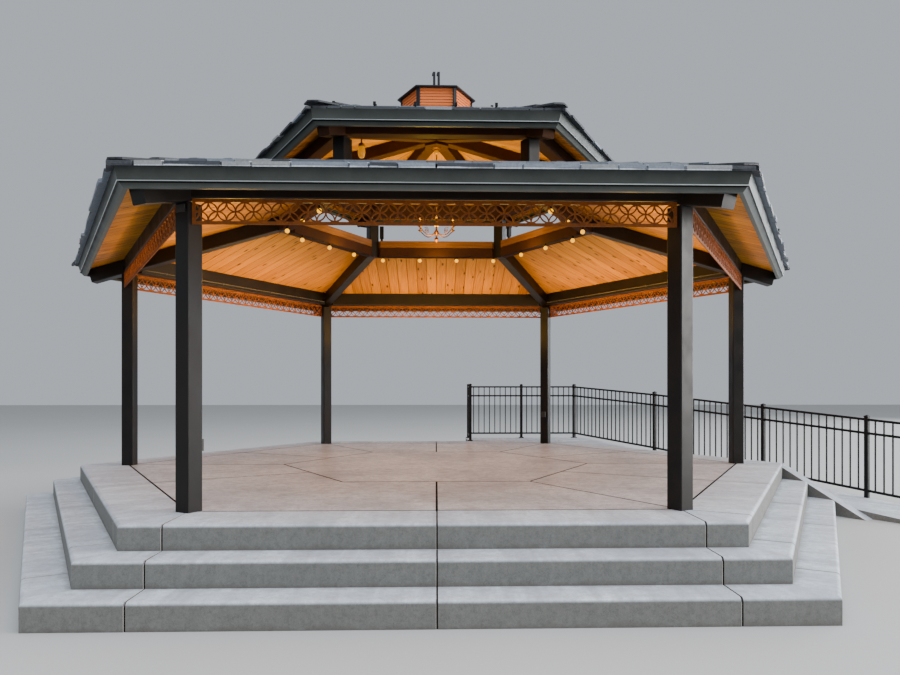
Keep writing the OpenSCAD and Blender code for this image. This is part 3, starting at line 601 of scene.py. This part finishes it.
GREY = (0.87, 0.95, 1.0), (0.58, 0.64, 0.74), (0.36, 0.375, 0.41), (0.208, 0.209, 0.194), 1.0
CONCRETE = concrete("grey_concrete", *GREY)
STEPS = concrete("step_concrete", *GREY, 1.0)
FLOOR = concrete("tan_concrete", (1.0, 0.97, 0.96), (0.54, 0.515, 0.515), (0.27, 0.242, 0.230),
                 (0.20, 0.15, 0.12), 0.4, sealed=0.45)
BRONZE = painted("dark_bronze_paint", (0.0065, 0.0055, 0.005), (0.013, 0.010, 0.008), 0.36, 0.0, 0.22)
BROWN = painted("warm_brown_paint", (0.038, 0.0165, 0.009), (0.057, 0.025, 0.012), 0.6, 0.0, 0.06)
RUST = rusted_plate("rusted_plate")
PINE_BOARDS = boards("pine_boards", (0.57, 0.250, 0.002), (0.31, 0.108, 0.001), (0.028, 0.008, 0.001))
TILE = roof_tile("roof_tile")
GREEN = (0.050, 0.057, 0.053), (0.072, 0.079, 0.073)
GUTTER = painted("lower_gutter_paint", *GREEN, 0.36, 0.0, 0.1, "lower_gutter")
UPPER_GUTTER = painted("upper_gutter_paint", *GREEN, 0.36, 0.0, 0.1, "upper_gutter")
FLASHING = painted("grey_green_paint", *GREEN, 0.36, 0.0, 0.2)
# The pale bead colour is a painted highlight.
BEAD_HIGHLIGHT = painted("bead_highlight", (0.50, 0.54, 0.54), (0.34, 0.38, 0.38), 0.35)
CURB = stained_timber("stained_curb", (0.26, 0.115, 0.028), (0.14, 0.060, 0.014))
SIDING = stained_timber("orange_siding", (0.80, 0.22, 0.065), (0.60, 0.15, 0.04))
TRIM = painted("dark_trim_paint", (0.010, 0.011, 0.014), (0.020, 0.020, 0.024), 0.45, 0.0, 0.25)
BLACK = painted("black_powder_coat", (0.004, 0.004, 0.0045), (0.008, 0.008, 0.009), 0.42, 0.0, 0.2)
LAMP_METAL = painted("lamp_bronze", (0.30, 0.13, 0.016), (0.17, 0.07, 0.009), 0.3, 0.9)
BULB = glowing("warm_bulb", (1.0, 0.44, 0.001), 2.4)
AMBER = glowing("amber_glass", (1.0, 0.36, 0.002), 0.6)
BOX_METAL = painted("weathered_cover", (0.035, 0.033, 0.03), (0.06, 0.055, 0.05), 0.5, 0.3)
CONDUIT = painted("grey_conduit", (0.085, 0.08, 0.075), (0.06, 0.055, 0.05), 0.5, 0.3)
SEALANT = painted("joint_filler", (0.006, 0.005, 0.0045), (0.018, 0.013, 0.009), 0.9, 0.0, 0.05)
PALE_FILLER_AND_EDGE_HIGHLIGHT = painted("pale_filler_and_edge_highlight", (0.86, 0.84, 0.80), (0.50, 0.42, 0.34), 0.8, 0.0, 0.2)

LOOKS = (
    (CONCRETE, "plinth_core landing ramp cheek_wall"),
    (STEPS, "deck_border border_corners front_steps side_steps back_steps corner_steps"),
    (FLOOR, "floor_slabs"),
    (BLACK, "fence_posts fence_panels speaker_boxes"),
    (BRONZE, "main_posts eave_beams hip_rafters upper_posts"),
    (RUST, "frieze_front frieze_front_left frieze_front_right frieze_back_left frieze_back_right frieze_back"),
    (GUTTER, "lower_gutter"),
    (UPPER_GUTTER, "upper_gutter"),
    (FLASHING, "ring_flashing"),
    (BROWN, "ring_beam upper_eave_beams upper_hip_rafters hub"),
    (CURB, "ring_curb"),
    (SIDING, "cupola_siding"),
    (TRIM, "cupola_corners cupola_cap finial"),
    (LAMP_METAL, "chandelier"),
    (BULB, "festoon"),
    (BOX_METAL, "outlet_boxes"),
)
for look, node_names in LOOKS:
    for node_name in node_names.split():
        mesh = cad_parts[node_name].data
        mesh.materials.clear()
        mesh.materials.append(look)


# Roof

class Tier:
    """One tier of the roof: its planes fall SLOPE for each metre away from the middle."""

    def __init__(self, ceiling, roofing):
        low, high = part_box(ceiling)
        self.board_out, self.low = high.y, low.z
        self.tile_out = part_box(roofing)[1].y

    def under(self, a):
        """Height of the underside of the boards at distance a from the middle."""
        return self.low + (self.board_out - a) * SLOPE

    def board_top(self, a):
        """Height of the top of the boards."""
        return self.under(a) + BOARD_T / np.cos(PITCH)

    def bed(self, a):
        """Height of the plane that the lowest tiles lie on."""
        return self.board_top(a) + PACKING


LOWER = Tier("lower_ceiling", "lower_roofing")
UPPER = Tier("upper_ceiling", "upper_roofing")


def ceiling_boards(name, node, tier, a0):
    """Boards running up the slope, with a small V between them, cut along the hips.

    A board's section has its two lower corners cut off. Its upper end starts where the hip crosses it, at a
    distance of the root of 3 times its distance from the side's middle.
    """
    cut, hip_clear = 0.007, 0.004
    reach = (tier.board_out - hip_clear) * HALF_SIDE
    edges = np.append(np.arange(-int(reach / BOARD_W), int(reach / BOARD_W) + 1) * BOARD_W, reach)
    edges = np.insert(edges, 0, -reach)
    x0, x1 = edges[:-1, None], edges[1:, None]
    wide = x1 - x0
    u = np.concatenate([0 * wide, 0 * wide + cut, wide / 2, wide - cut, wide, wide, 0 * wide], 1)
    lift = np.array([cut, 0, 0, 0, cut, BOARD_T, BOARD_T])
    x = x0 + u
    top = np.maximum(a0, np.abs(x) / HALF_SIDE + hip_clear)
    a = np.stack([top, (top + tier.board_out) / 2, np.broadcast_to(tier.board_out, top.shape)], 1)
    z = tier.under(a) + lift
    points = np.stack([np.broadcast_to(x[:, None], a.shape), -a, z], -1)
    points = turned(points)
    count = 6 * len(x)
    shift = rng.uniform(0, 30, (6, len(x), 1, 1, 2))
    uv = np.stack([np.broadcast_to(u[:, None], a.shape), a / np.cos(PITCH)], -1)[None] + shift
    tone = np.broadcast_to(rng.uniform(0, 1, (6, len(x), 1, 1)), (6,) + a.shape)
    groove = np.array([1.0, 0, 0, 0, 1, 1, 1]) + np.zeros((6,) + a.shape)
    faces = repeated(tube_faces(3, 7), count, 21)
    piece(name, points, faces, PINE_BOARDS, "pine_boards", [node], uv=uv, tone=tone, groove=groove)


def tile_courses(name, node, tier, a0, doubled):
    """Flat tiles in lapped courses, in four widths with broken joints, cut along the hips, over a plain bed.

    Where the eave is doubled, the lowest course lies on a starter course with the same joints.

    Course k runs from the eave distance less k runs. Each tile lies on the one below at its butt and on the bed
    at its head, so its bottom rises by one thickness from head to butt. Each butt along the eave stands out by
    its own jog and is turned by its own skew. On a tier with a single eave course, the front and back ones lie
    further in, behind their gutters.
    """
    run, head = COURSE * np.cos(PITCH), HEAD_LAP * np.cos(PITCH)
    thick, starter_thick = TILE_T / np.cos(PITCH), STARTER_T / np.cos(PITCH)
    gap, nose, edge, closure = 0.007, 0.009, 0.004, 0.19
    dark, dark_share, end_tone = 0.13, 0.3 if doubled else 0.8, 0.05
    count = int(np.ceil((tier.tile_out - a0) / run))
    parts, tones, eaves = [], [], []
    plans = {}
    for k in range(-1 if doubled else 0, count):
        starter = k < 0
        butt = tier.tile_out - max(k, 0) * run
        back = max(butt - run - head, a0)
        if starter:
            butt, back = butt - 0.002, butt - 0.2
        reach = butt * HALF_SIDE
        for angle in SIDES:
            spot = max(k, 0), angle
            if spot not in plans:
                end = closure if k <= 0 else rng.uniform(0.1, 0.4)
                edges = np.cumsum(rng.choice(TILE_WIDTHS, int(2.2 * reach / min(TILE_WIDTHS)) + 4)) - reach + end
                edges = edges[edges < reach - end - 0.06]
                edges = np.concatenate([[-reach, end - reach], edges, [reach - end, reach]])
                tiles = len(edges) - 1
                plans[spot] = edges, rng.choice(TILE_JOGS, tiles), rng.uniform(0.12, 0.85, tiles)
            edges, jog, shade = plans[spot]
            x0, wide, jog = edges[:-1, None], np.diff(edges)[:, None] - (gap if k > 0 else 2 * gap), jog * (k <= 0)
            if k == 0 and not doubled and angle in (FRONT, BACK):
                jog = jog - EAVE_INSET
            u = wide * [0, 1, 1, 1, 0, 0] + np.array([0, 0, 0, -edge, edge, 0])
            own = starter_thick if starter else thick
            level = np.array([0, 0, own - edge, own, own, own - edge])
            a = np.array([butt, butt, butt - nose, back]) + jog[:, None] * [1, 1, 1, 0]
            over = (starter_thick if doubled else 0.0) if k == 0 else thick * (not starter)
            tilt = np.clip((a - back) / max(butt - back, 0.01), 0, 1) * over
            skew = rng.uniform(-TILE_SKEW, TILE_SKEW, (len(x0), 1, 1)) * (k <= 0)
            a = a[..., None] + skew * (u / wide - 0.5)[:, None] * np.array([1, 1, 1, 0])[:, None]
            x = (x0 + u)[:, None] + np.zeros((4, 1))
            limit = a * HALF_SIDE - 0.004
            inside = (np.abs(x) < limit).any((1, 2))
            x = np.clip(x, -limit, limit)
            nose_cut = np.where(np.arange(4) == 0, 0.72, 1.0)[:, None]
            z = tier.bed(a) + tilt[..., None] + level * nose_cut + rng.uniform(0, 0.003, (len(x), 1, 1))
            laid = np.stack([x, -a, z], -1)[inside]
            parts.append(faced((laid, repeated(tube_faces(4, 6), len(laid), 24)), angle))
            shade = shade[inside]
            at_end = np.abs(laid[:, 0, :, 0]).max(1) > reach - 0.05
            if k == 0:
                shade = np.where(rng.uniform(0, 1, len(shade)) < dark_share, dark, 0.4 + 0.5 * shade)
            # The front starter course takes the palest tone, for the brightest painted reflection on its butts; the
            # starters of the other sides are darker.
            shade = np.where(starter, 1.0 if angle == FRONT else 0.3, shade)
            shade = np.where(at_end & (k <= 0), end_tone, shade)
            tones.append(np.repeat(shade, 24))
            eaves.append(np.full(24 * len(shade), float(k <= 0)))
    bed_ring = hex_ring([(a0, tier.board_top(a0)), (tier.board_out, tier.board_top(tier.board_out)),
                         (tier.board_out, tier.bed(tier.board_out)), (a0, tier.bed(a0))])
    parts.append(bed_ring)
    tones.append(np.zeros(24))
    eaves.append(np.zeros(24))
    points, faces = joined(parts)
    piece(name, points, faces, TILE, "roof_tile", [node], tone=np.concatenate(tones),
                 eave=np.concatenate(eaves))


def hip_tiles(name, node, tier, r0, lift):
    """Ridge tiles lapped up each hip: a shallow V whose point is rounded, stepped up at every butt.

    Across the hip the tile falls by the root of y squared plus r squared, less r, times the fall of its wings.
    The butt of the lowest one is cut back by y times the tangent of 30 degrees, to run along both eaves.
    The tiles are bedded at lift over the roof's bed.
    """
    wing, soft, thick, step_up = 0.092, 0.02, 0.018, 0.012
    fall = np.sin(np.pi / 6) * SLOPE
    r1 = tier.tile_out / np.cos(np.pi / 6)
    exposed = COURSE * np.cos(HIP_PITCH)
    count = int((r1 - r0) / exposed)
    exposed = (r1 - r0) / count
    y = np.linspace(-wing, wing, 9)
    down = (np.hypot(y, soft) - soft) * fall
    ring_y = np.concatenate([y, y[::-1]])
    butt = r1 - np.arange(count)[:, None] * exposed
    back = np.maximum(butt - exposed - 0.05, r0)
    r = np.concatenate([butt, butt, butt - 0.008, back], 1)[..., None] + np.zeros(18)
    r[0, :3] -= np.abs(ring_y) * HALF_SIDE
    base = tier.bed(r * np.cos(np.pi / 6)) + lift + np.array([step_up, step_up, step_up, -0.004])[:, None]
    up = np.array([0.6, 1.0, 1.0, 1.0])[:, None] * thick * (np.arange(18) >= 9)
    z = base - np.concatenate([down, down[::-1]]) + up
    points = np.stack([r, ring_y + np.zeros_like(r), z], -1)
    faces = repeated(tube_faces(4, 18), 6 * count, 72)
    tone = rng.uniform(0, 0.5, (6, count, 1)) * (np.arange(count) > 0)[:, None] + np.zeros(72)
    piece(name, turned(points), faces, TILE, "roof_tile", [node], tone=tone, smooth=35)


ring_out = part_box("ring_curb")[1].y
ring_in = ring_out - POST_W
apron = 0.090
ceiling_boards("lower_boards", "lower_ceiling", LOWER, ring_out)
ceiling_boards("upper_boards", "upper_ceiling", UPPER, 0.0)
tile_courses("lower_tiles", "lower_roofing", LOWER, ring_out + apron, True)
cupola_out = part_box("cupola_siding")[1].y
tile_courses("upper_tiles", "upper_roofing", UPPER, cupola_out, False)
hip_tiles("lower_hip_tiles", "lower_hip_caps", LOWER, (ring_out + apron) / np.cos(np.pi / 6), 0.029)
hip_tiles("upper_hip_tiles", "upper_hip_caps", UPPER, cupola_out / np.cos(np.pi / 6) + 0.05, 0.049)


def gutter_beads(name, node):
    """A rounded bead along the foot of a gutter, an eight-sided section carried round the six mitres, with a pale
    painted highlight.
    """
    low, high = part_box(node)
    a, z = high.y - GUTTER_H * GUTTER_BACK + 0.004, low.z + TRIM_H
    angles = np.arange(8) / 8 * 2 * np.pi
    points, faces = hex_ring(np.stack([a + 0.0055 * np.cos(angles), z + 0.0045 * np.sin(angles)], -1))
    piece(name, points, faces, BEAD_HIGHLIGHT, "gutter_green", smooth=50)


def snow_guards():
    """Two staggered rows of small upright tabs on straps, standing on the tiles of the upper roof."""
    spots = []
    for row, back in enumerate(GUARD_ROWS):
        a = UPPER.tile_out - back
        reach = a * HALF_SIDE - 0.2
        x = np.arange(-reach, reach, GUARD_PITCH) + row * GUARD_PITCH / 2 + GUARD_SHIFT
        spots.append(np.stack([x, np.full_like(x, -a), np.full_like(x, UPPER.bed(a) + 2.2 * TILE_T)], -1))
    strap = block((-0.010, -0.01, -0.008), (0.010, 0.16, 0.0))
    strap[0][..., 2] += strap[0][..., 1] * SLOPE
    tab = block((-0.015, -0.014, -0.006), (0.015, -0.007, 0.034))
    points, faces = scattered(joined([strap, tab]), np.concatenate(spots))
    piece("snow_guards", turned(points), repeated(faces, 6, points.size // 3), BLACK, "dark_trim")


def festoon():
    """Bulbs on a cable under the ring beam: turned globes that close in to a neck inside each dark socket."""
    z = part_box("ring_beam")[0].z - CABLE_D / 2
    socket = turned_profile([(0.001, 0.006), (0.010, 0.006), (0.0145, 0.0), (0.0150, -0.020), (0.0135, -0.028),
                             (0.001, -0.028)], 12)
    swing = np.radians(np.linspace(62, -86, 12))
    globe = turned_profile([(0.001, -0.0275), (0.0115, -0.0275), (0.0125, -0.029)]
                           + list(zip(0.029 * np.cos(swing), -0.0535 + 0.029 * np.sin(swing))), 18)
    dark, lit = [], []
    for angle, start in zip((FRONT, FRONT_LEFT, FRONT_RIGHT, BACK_LEFT, BACK_RIGHT, BACK), BULB_STARTS):
        inset = ring_out - CABLE_INSET if angle in (FRONT_LEFT, FRONT_RIGHT) else ring_in + CABLE_INSET
        half = inset * HALF_SIDE - CABLE_D
        count = int((2 * half - start - 0.02) / BULB_PITCH) + 1
        x = half - start - np.arange(count) * BULB_PITCH
        spots = np.stack([x, np.full(count, -inset), np.full(count, z)], -1)
        path = np.linspace(-half, half, 25)
        slack = 0.006 * np.abs(np.sin((half - start - path) / BULB_PITCH * np.pi))
        cable = rod(np.stack([path, np.full(25, -inset), z + 0.001 - slack], -1), CABLE_D / 2, 8)
        dark += [faced(cable, angle), faced(scattered(socket, spots), angle)]
        lit.append(faced(scattered(globe, spots), angle))
    piece("festoon_bulbs", *joined(lit), BULB, "warm_bulb", ["festoon"], smooth=60)
    piece("festoon_cable", *joined(dark), BLACK, "black_plastic", smooth=40)


def chandelier():
    """A turned stem with six S-curved arms, each with a scroll, a cup, a candle and a small flame bulb.

    An arm dips by a sine of its length and then rises, and a scroll is a ring whose radius shrinks as it turns.
    """
    low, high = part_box("chandelier")
    plate = low.z + 0.235
    stem = [(0.001, 0.035), (0.008, 0.03), (0.012, 0.02), (0.032, 0.002), (0.034, -0.012), (0.014, -0.028),
            (0.012, -0.065), (0.026, -0.088), (0.034, -0.108), (0.027, -0.128), (0.012, -0.145), (0.010, -0.165),
            (0.022, -0.178), (0.028, -0.196), (0.020, -0.214), (0.007, -0.226), (0.001, -0.235)]
    collar = [(0.001, 0.0), (0.062, 0.0), (0.058, -0.012), (0.030, -0.022), (0.001, -0.024)]
    t = np.linspace(0, 1, 18)
    radius = 0.025 + 0.225 * t
    arm = np.stack([radius, 0 * t, plate - 0.112 - 0.052 * np.sin(1.15 * np.pi * t) + 0.03 * t], -1)
    turn = np.linspace(0.2 * np.pi, 3.1 * np.pi, 30)
    curl = np.linspace(0.036, 0.007, 30)
    scroll = np.stack([0.150 + curl * np.cos(turn), 0 * turn, plate - 0.086 + curl * np.sin(turn)], -1)
    tip = arm[-1]
    cup = turned_profile([(0.001, -0.012), (0.008, -0.010), (0.012, 0.0), (0.032, 0.010), (0.034, 0.014),
                          (0.001, 0.014)], 14, tip)
    candle = turned_profile([(0.001, 0.012), (0.011, 0.012), (0.0115, 0.075), (0.009, 0.078), (0.001, 0.078)], 12, tip)
    flame = turned_profile([(0.001, 0.078), (0.0065, 0.079), (0.0115, 0.092), (0.009, 0.108), (0.001, 0.122)], 12, tip)
    metal = [turned_profile(stem, 20, (0, 0, plate)), turned_profile(collar, 20, (0, 0, high.z)),
             rod([(0, 0, plate + 0.02), (0, 0, (plate + high.z) / 2), (0, 0, high.z - 0.01)], 0.007)]
    lit = []
    for angle in SIDES + np.pi / 6:
        metal += [faced(part, angle) for part in (rod(arm, 0.006, 8), rod(scroll, 0.0045, 7, 0.7), cup, candle)]
        lit.append(faced(flame, angle))
    piece("chandelier_frame", *joined(metal), LAMP_METAL, "lamp_metal", ["chandelier"], smooth=40)
    piece("chandelier_flames", *joined(lit), AMBER, "warm_bulb", smooth=60)
    swing = np.radians(np.linspace(88, -88, 14))
    ball = turned_profile(list(zip(0.032 * np.cos(swing), high.z - 0.055 + 0.032 * np.sin(swing))), 20)
    piece("amber_ball", *ball, AMBER, "warm_bulb", smooth=60)


def jar_lamp():
    """A jar of amber glass under the front left hip rafter of the upper tier, beside its post, on a short stem."""
    r, z = 1.66, 4.19
    centre = (-r / 2, -r * np.cos(np.pi / 6), z)
    glass = turned_profile([(0.001, -0.074), (0.022, -0.072), (0.036, -0.052), (0.042, -0.015), (0.040, 0.025),
                            (0.030, 0.050), (0.026, 0.058), (0.001, 0.058)], 20, centre)
    fixing = turned_profile([(0.001, 0.050), (0.031, 0.050), (0.033, 0.056), (0.033, 0.078), (0.026, 0.086),
                             (0.008, 0.090), (0.007, 0.155), (0.001, 0.155)], 16, centre)
    piece("jar_lamp_glass", *glass, AMBER, "warm_bulb", smooth=50)
    piece("jar_lamp_fixing", *fixing, LAMP_METAL, "lamp_metal", smooth=40)


def step_plate(back, x0, x1):
    """A plate in the shape of the steps' section, set back from every tread and riser, between x0 and x1."""
    deck, nose = 3 * RISER, 0.03
    outline = [(DECK_AP - 0.5, 0.0), (DECK_AP - 0.5, deck - back), (DECK_AP - nose - back, deck - back),
               (DECK_AP - back, deck - nose - back)]
    for k in (1, 2):
        outline += [(DECK_AP + (k - 1) * TREAD - back, deck - k * RISER - back),
                    (DECK_AP + k * TREAD - nose - back, deck - k * RISER - back),
                    (DECK_AP + k * TREAD - back, deck - k * RISER - nose - back)]
    outline.append((DECK_AP + 2 * TREAD - back, 0.0))
    return drawn_out(outline, x0, x1)


def joint_fillers():
    """Each joint between the concrete steps: a painted highlight of its lit edge along one side, and dark sealant set
    back.
    """
    edge, half = POST_R / 2, JOINT / 2
    places = [(FRONT, (-edge, 0, edge)), (FRONT_LEFT, (-edge, 0, edge)), (BACK_LEFT, (-edge, 0, edge)),
              (FRONT_RIGHT, (-edge, 0)), (BACK, (0, edge))]
    dark = [faced(step_plate(0.003, x - half + 0.002, x + half), angle) for angle, xs in places for x in xs]
    # Pale strips along one side of each joint: a painted highlight of the lit rounded edge.
    pale = [faced(step_plate(0.0004, x - half, x - half + 0.002), angle) for angle, xs in places for x in xs]
    piece("joint_sealant", *joined(dark), SEALANT, "concrete_grey")
    piece("joint_edge_highlights", *joined(pale), PALE_FILLER_AND_EDGE_HIGHLIGHT, "concrete_grey")


def floor_joints():
    """Sealant in the joints of the floor: round the middle slab, out to the posts, along each side and across it.

    It reaches a little over the edges of the slabs on both sides, darkening them with grime and painted shade.
    """
    # The sealant is 3 mm wider than the joint on each side: grime and painted shade on the slabs' rounded edges.
    top, low, half = 3 * RISER + 0.0006, 3 * RISER - 0.03, JOINT / 2 + 0.003
    inner, outer = 2.0 * np.cos(np.pi / 6), POST_R * np.cos(np.pi / 6)
    strips = []
    for a in (inner, outer + JOINT / 2):
        strips.append(drawn_out([(a - half, low), (a - half, top), (a + half, top), (a + half, low)],
                                -(a - half) * HALF_SIDE, (a - half) * HALF_SIDE))
    strips.append(block((-half, -outer, low), (half, -inner - half, top), 0.001))
    parts = [faced(part, angle) for angle in SIDES for part in strips]
    radial = block((-half, -POST_R + 0.08, low), (half, -2.0, top), 0.001)
    parts += [faced(radial, angle) for angle in SIDES[:5] + np.pi / 6]
    piece("floor_joints", *joined(parts), SEALANT, "concrete_buff")
    piece("pale_floor_joint", *faced(radial, SIDES[5] + np.pi / 6), PALE_FILLER_AND_EDGE_HIGHLIGHT, "concrete_buff")


def fence_fittings():
    """A low pyramid cap on each fence post, and a foot plate with four domed bolts."""
    ramp_ap = DECK_AP + RAMP_W
    line = ramp_ap - FENCE_W
    corner = line * HALF_SIDE
    head = ramp_ap * HALF_SIDE - 0.4
    places = [(BACK, -FENCE_START, DECK_AP + FENCE_W / 2), (BACK, -FENCE_START, line),
              (BACK, -(FENCE_START + corner) / 2, line)]
    places += [(BACK_RIGHT, corner - drop, line) for drop in FENCE_DROPS]
    w = FENCE_W / 2 + 0.004
    square = np.array([(-w, -w), (w, -w), (w, w), (-w, w)])
    cap = np.array([np.c_[square * k, np.full(4, z)] for k, z in ((1, -0.004), (1, 0.006), (0.08, 0.022))])
    plate = block((-0.048, -0.048, 0.0), (0.048, 0.048, 0.008))
    bolt = turned_profile([(0.001, 0.008), (0.009, 0.008), (0.008, 0.014), (0.001, 0.017)], 8)
    bolts = scattered(bolt, [(x, y, 0) for x in (-0.036, 0.036) for y in (-0.036, 0.036)])
    parts = []
    for angle, x, a in places:
        ground = 3 * RISER
        if angle == BACK_RIGHT:
            ground = np.clip(ground - (head - x) / RAMP_RUN, 0, ground)
        parts.append(faced(scattered((cap, tube_faces(3, 4)), (x, -a, ground + FENCE_H)), angle))
        if angle == BACK or x > head:
            parts += [faced(scattered(part, (x, -a, ground)), angle) for part in (plate, bolts)]
    piece("fence_fittings", *joined(parts), BLACK, "fence_black")


def conduits():
    """Thin wiring tubes along the lower inner edges of four eave beams, with a clip at every metre."""
    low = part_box("eave_beams")[0].z
    a = POST_R * np.cos(np.pi / 6) - 0.084
    half = a * HALF_SIDE - 0.1
    x = np.linspace(-half, half, 9)
    tube = rod(np.stack([x, np.full(9, -a), np.full(9, low + 0.045)], -1), 0.008, 8)
    clip = block((-0.012, -0.011, -0.012), (0.012, 0.010, 0.012), 0.001)
    clips = scattered(clip, [(at, -a, low + 0.045) for at in (-1.5, -0.5, 0.5, 1.5)])
    parts = [faced(part, angle) for angle in (FRONT_LEFT, FRONT_RIGHT, BACK_LEFT, BACK_RIGHT) for part in (tube, clips)]
    piece("conduits", *joined(parts), CONDUIT, "box_metal", smooth=40)


gutter_beads("lower_beads", "lower_gutter")
gutter_beads("upper_beads", "upper_gutter")
snow_guards()
festoon()
chandelier()
jar_lamp()
joint_fillers()
floor_joints()
fence_fittings()
conduits()


# Floor, lights and camera

def studio_floor():
    """A wide plain plane under the object."""
    mesh = bpy.data.meshes.new("floor")
    half = 60.0
    mesh.from_pydata([(-half, -half, 0), (half, -half, 0), (half, half, 0), (-half, half, 0)], [], [(0, 1, 2, 3)])
    material, tree, shader = finish("studio_floor", Roughness=0.9)
    soft = noise(tree, object_place(tree), 0.4, 2)
    tree.links.new(blend(tree, soft, (0.50, 0.50, 0.49), (0.54, 0.54, 0.53)), shader.inputs["Base Color"])
    mesh.materials.append(material)
    placed("floor", mesh)


def area_light(name, place, aim, size, power, colour, width=None):
    """A soft light at a place, facing a point, square or as wide as asked."""
    data = bpy.data.lights.new(name, "AREA")
    data.size, data.energy, data.color = size, power, colour
    if width is not None:
        data.shape, data.size, data.size_y = "RECTANGLE", width, size
    made = placed(name, data)
    made.location = place
    made.rotation_mode = "QUATERNION"
    made.rotation_quaternion = Vector(np.subtract(aim, place)).to_track_quat("-Z", "Y")


def point_light(name, place, power, radius, colour):
    """A small warm lamp."""
    data = bpy.data.lights.new(name, "POINT")
    data.energy, data.shadow_soft_size, data.color = power, radius, colour
    placed(name, data).location = place


def world_light(colour, strength):
    """An even pale surround."""
    world = bpy.data.worlds.new("surround")
    bpy.context.scene.world = world
    world.use_nodes = True
    shader = world.node_tree.nodes["Background"]
    shader.inputs[0].default_value = (*colour, 1)
    shader.inputs[1].default_value = strength


def camera():
    """The photograph's own view: a level camera a little left of the middle, with its horizon below centre."""
    data = bpy.data.cameras.new("camera")
    data.lens, data.sensor_width = CAMERA_LENS, 36.0
    data.shift_x, data.shift_y = CAMERA_SHIFT
    data.clip_end = 500
    made = placed("camera", data)
    made.location = CAMERA_PLACE
    made.rotation_euler = (np.pi / 2, 0, CAMERA_YAW)
    bpy.context.scene.camera = made


studio_floor()
world_light((0.86, 0.92, 1.0), 0.55)
area_light("sky", (0, -5, 17), (0, -2, 0), 18, 3300, (0.86, 0.92, 1.0))
area_light("side", (28, -6.6, 6.6), (0, 0, 2.5), 15, 11000, (1.0, 0.98, 0.96))
area_light("front", (-2, -17, 5), (0, 0, 1.5), 8, 300, (0.96, 0.98, 1.0))
area_light("back_right", (31, 15, 6.8), (0, 0, 1), 13, 6500, (0.92, 0.96, 1.0))
WARM = (1.0, 0.53, 0.05)
for bearing in SIDES:
    height, power = (3.0, 15) if bearing == 0 else (2.55, 45)
    spot, mark = turned(np.array([[0, -2.75, height], [0, -3.55, height + 0.9]]), np.array([bearing]))[0]
    area_light("warm_strip", spot, mark, 0.2, power, WARM, 2.6)
    spot = turned(np.array([[0, -1.45, 3.56]]), np.array([bearing]))[0, 0]
    point_light("festoon_glow", spot, 9, 0.12, WARM)
point_light("chandelier_glow", (0, 0, 3.44), 30, 0.2, WARM)
area_light("lantern", (0, 0, 3.7), (0, 0, 5), 0.6, 40, (1.0, 0.70, 0.02))
camera()
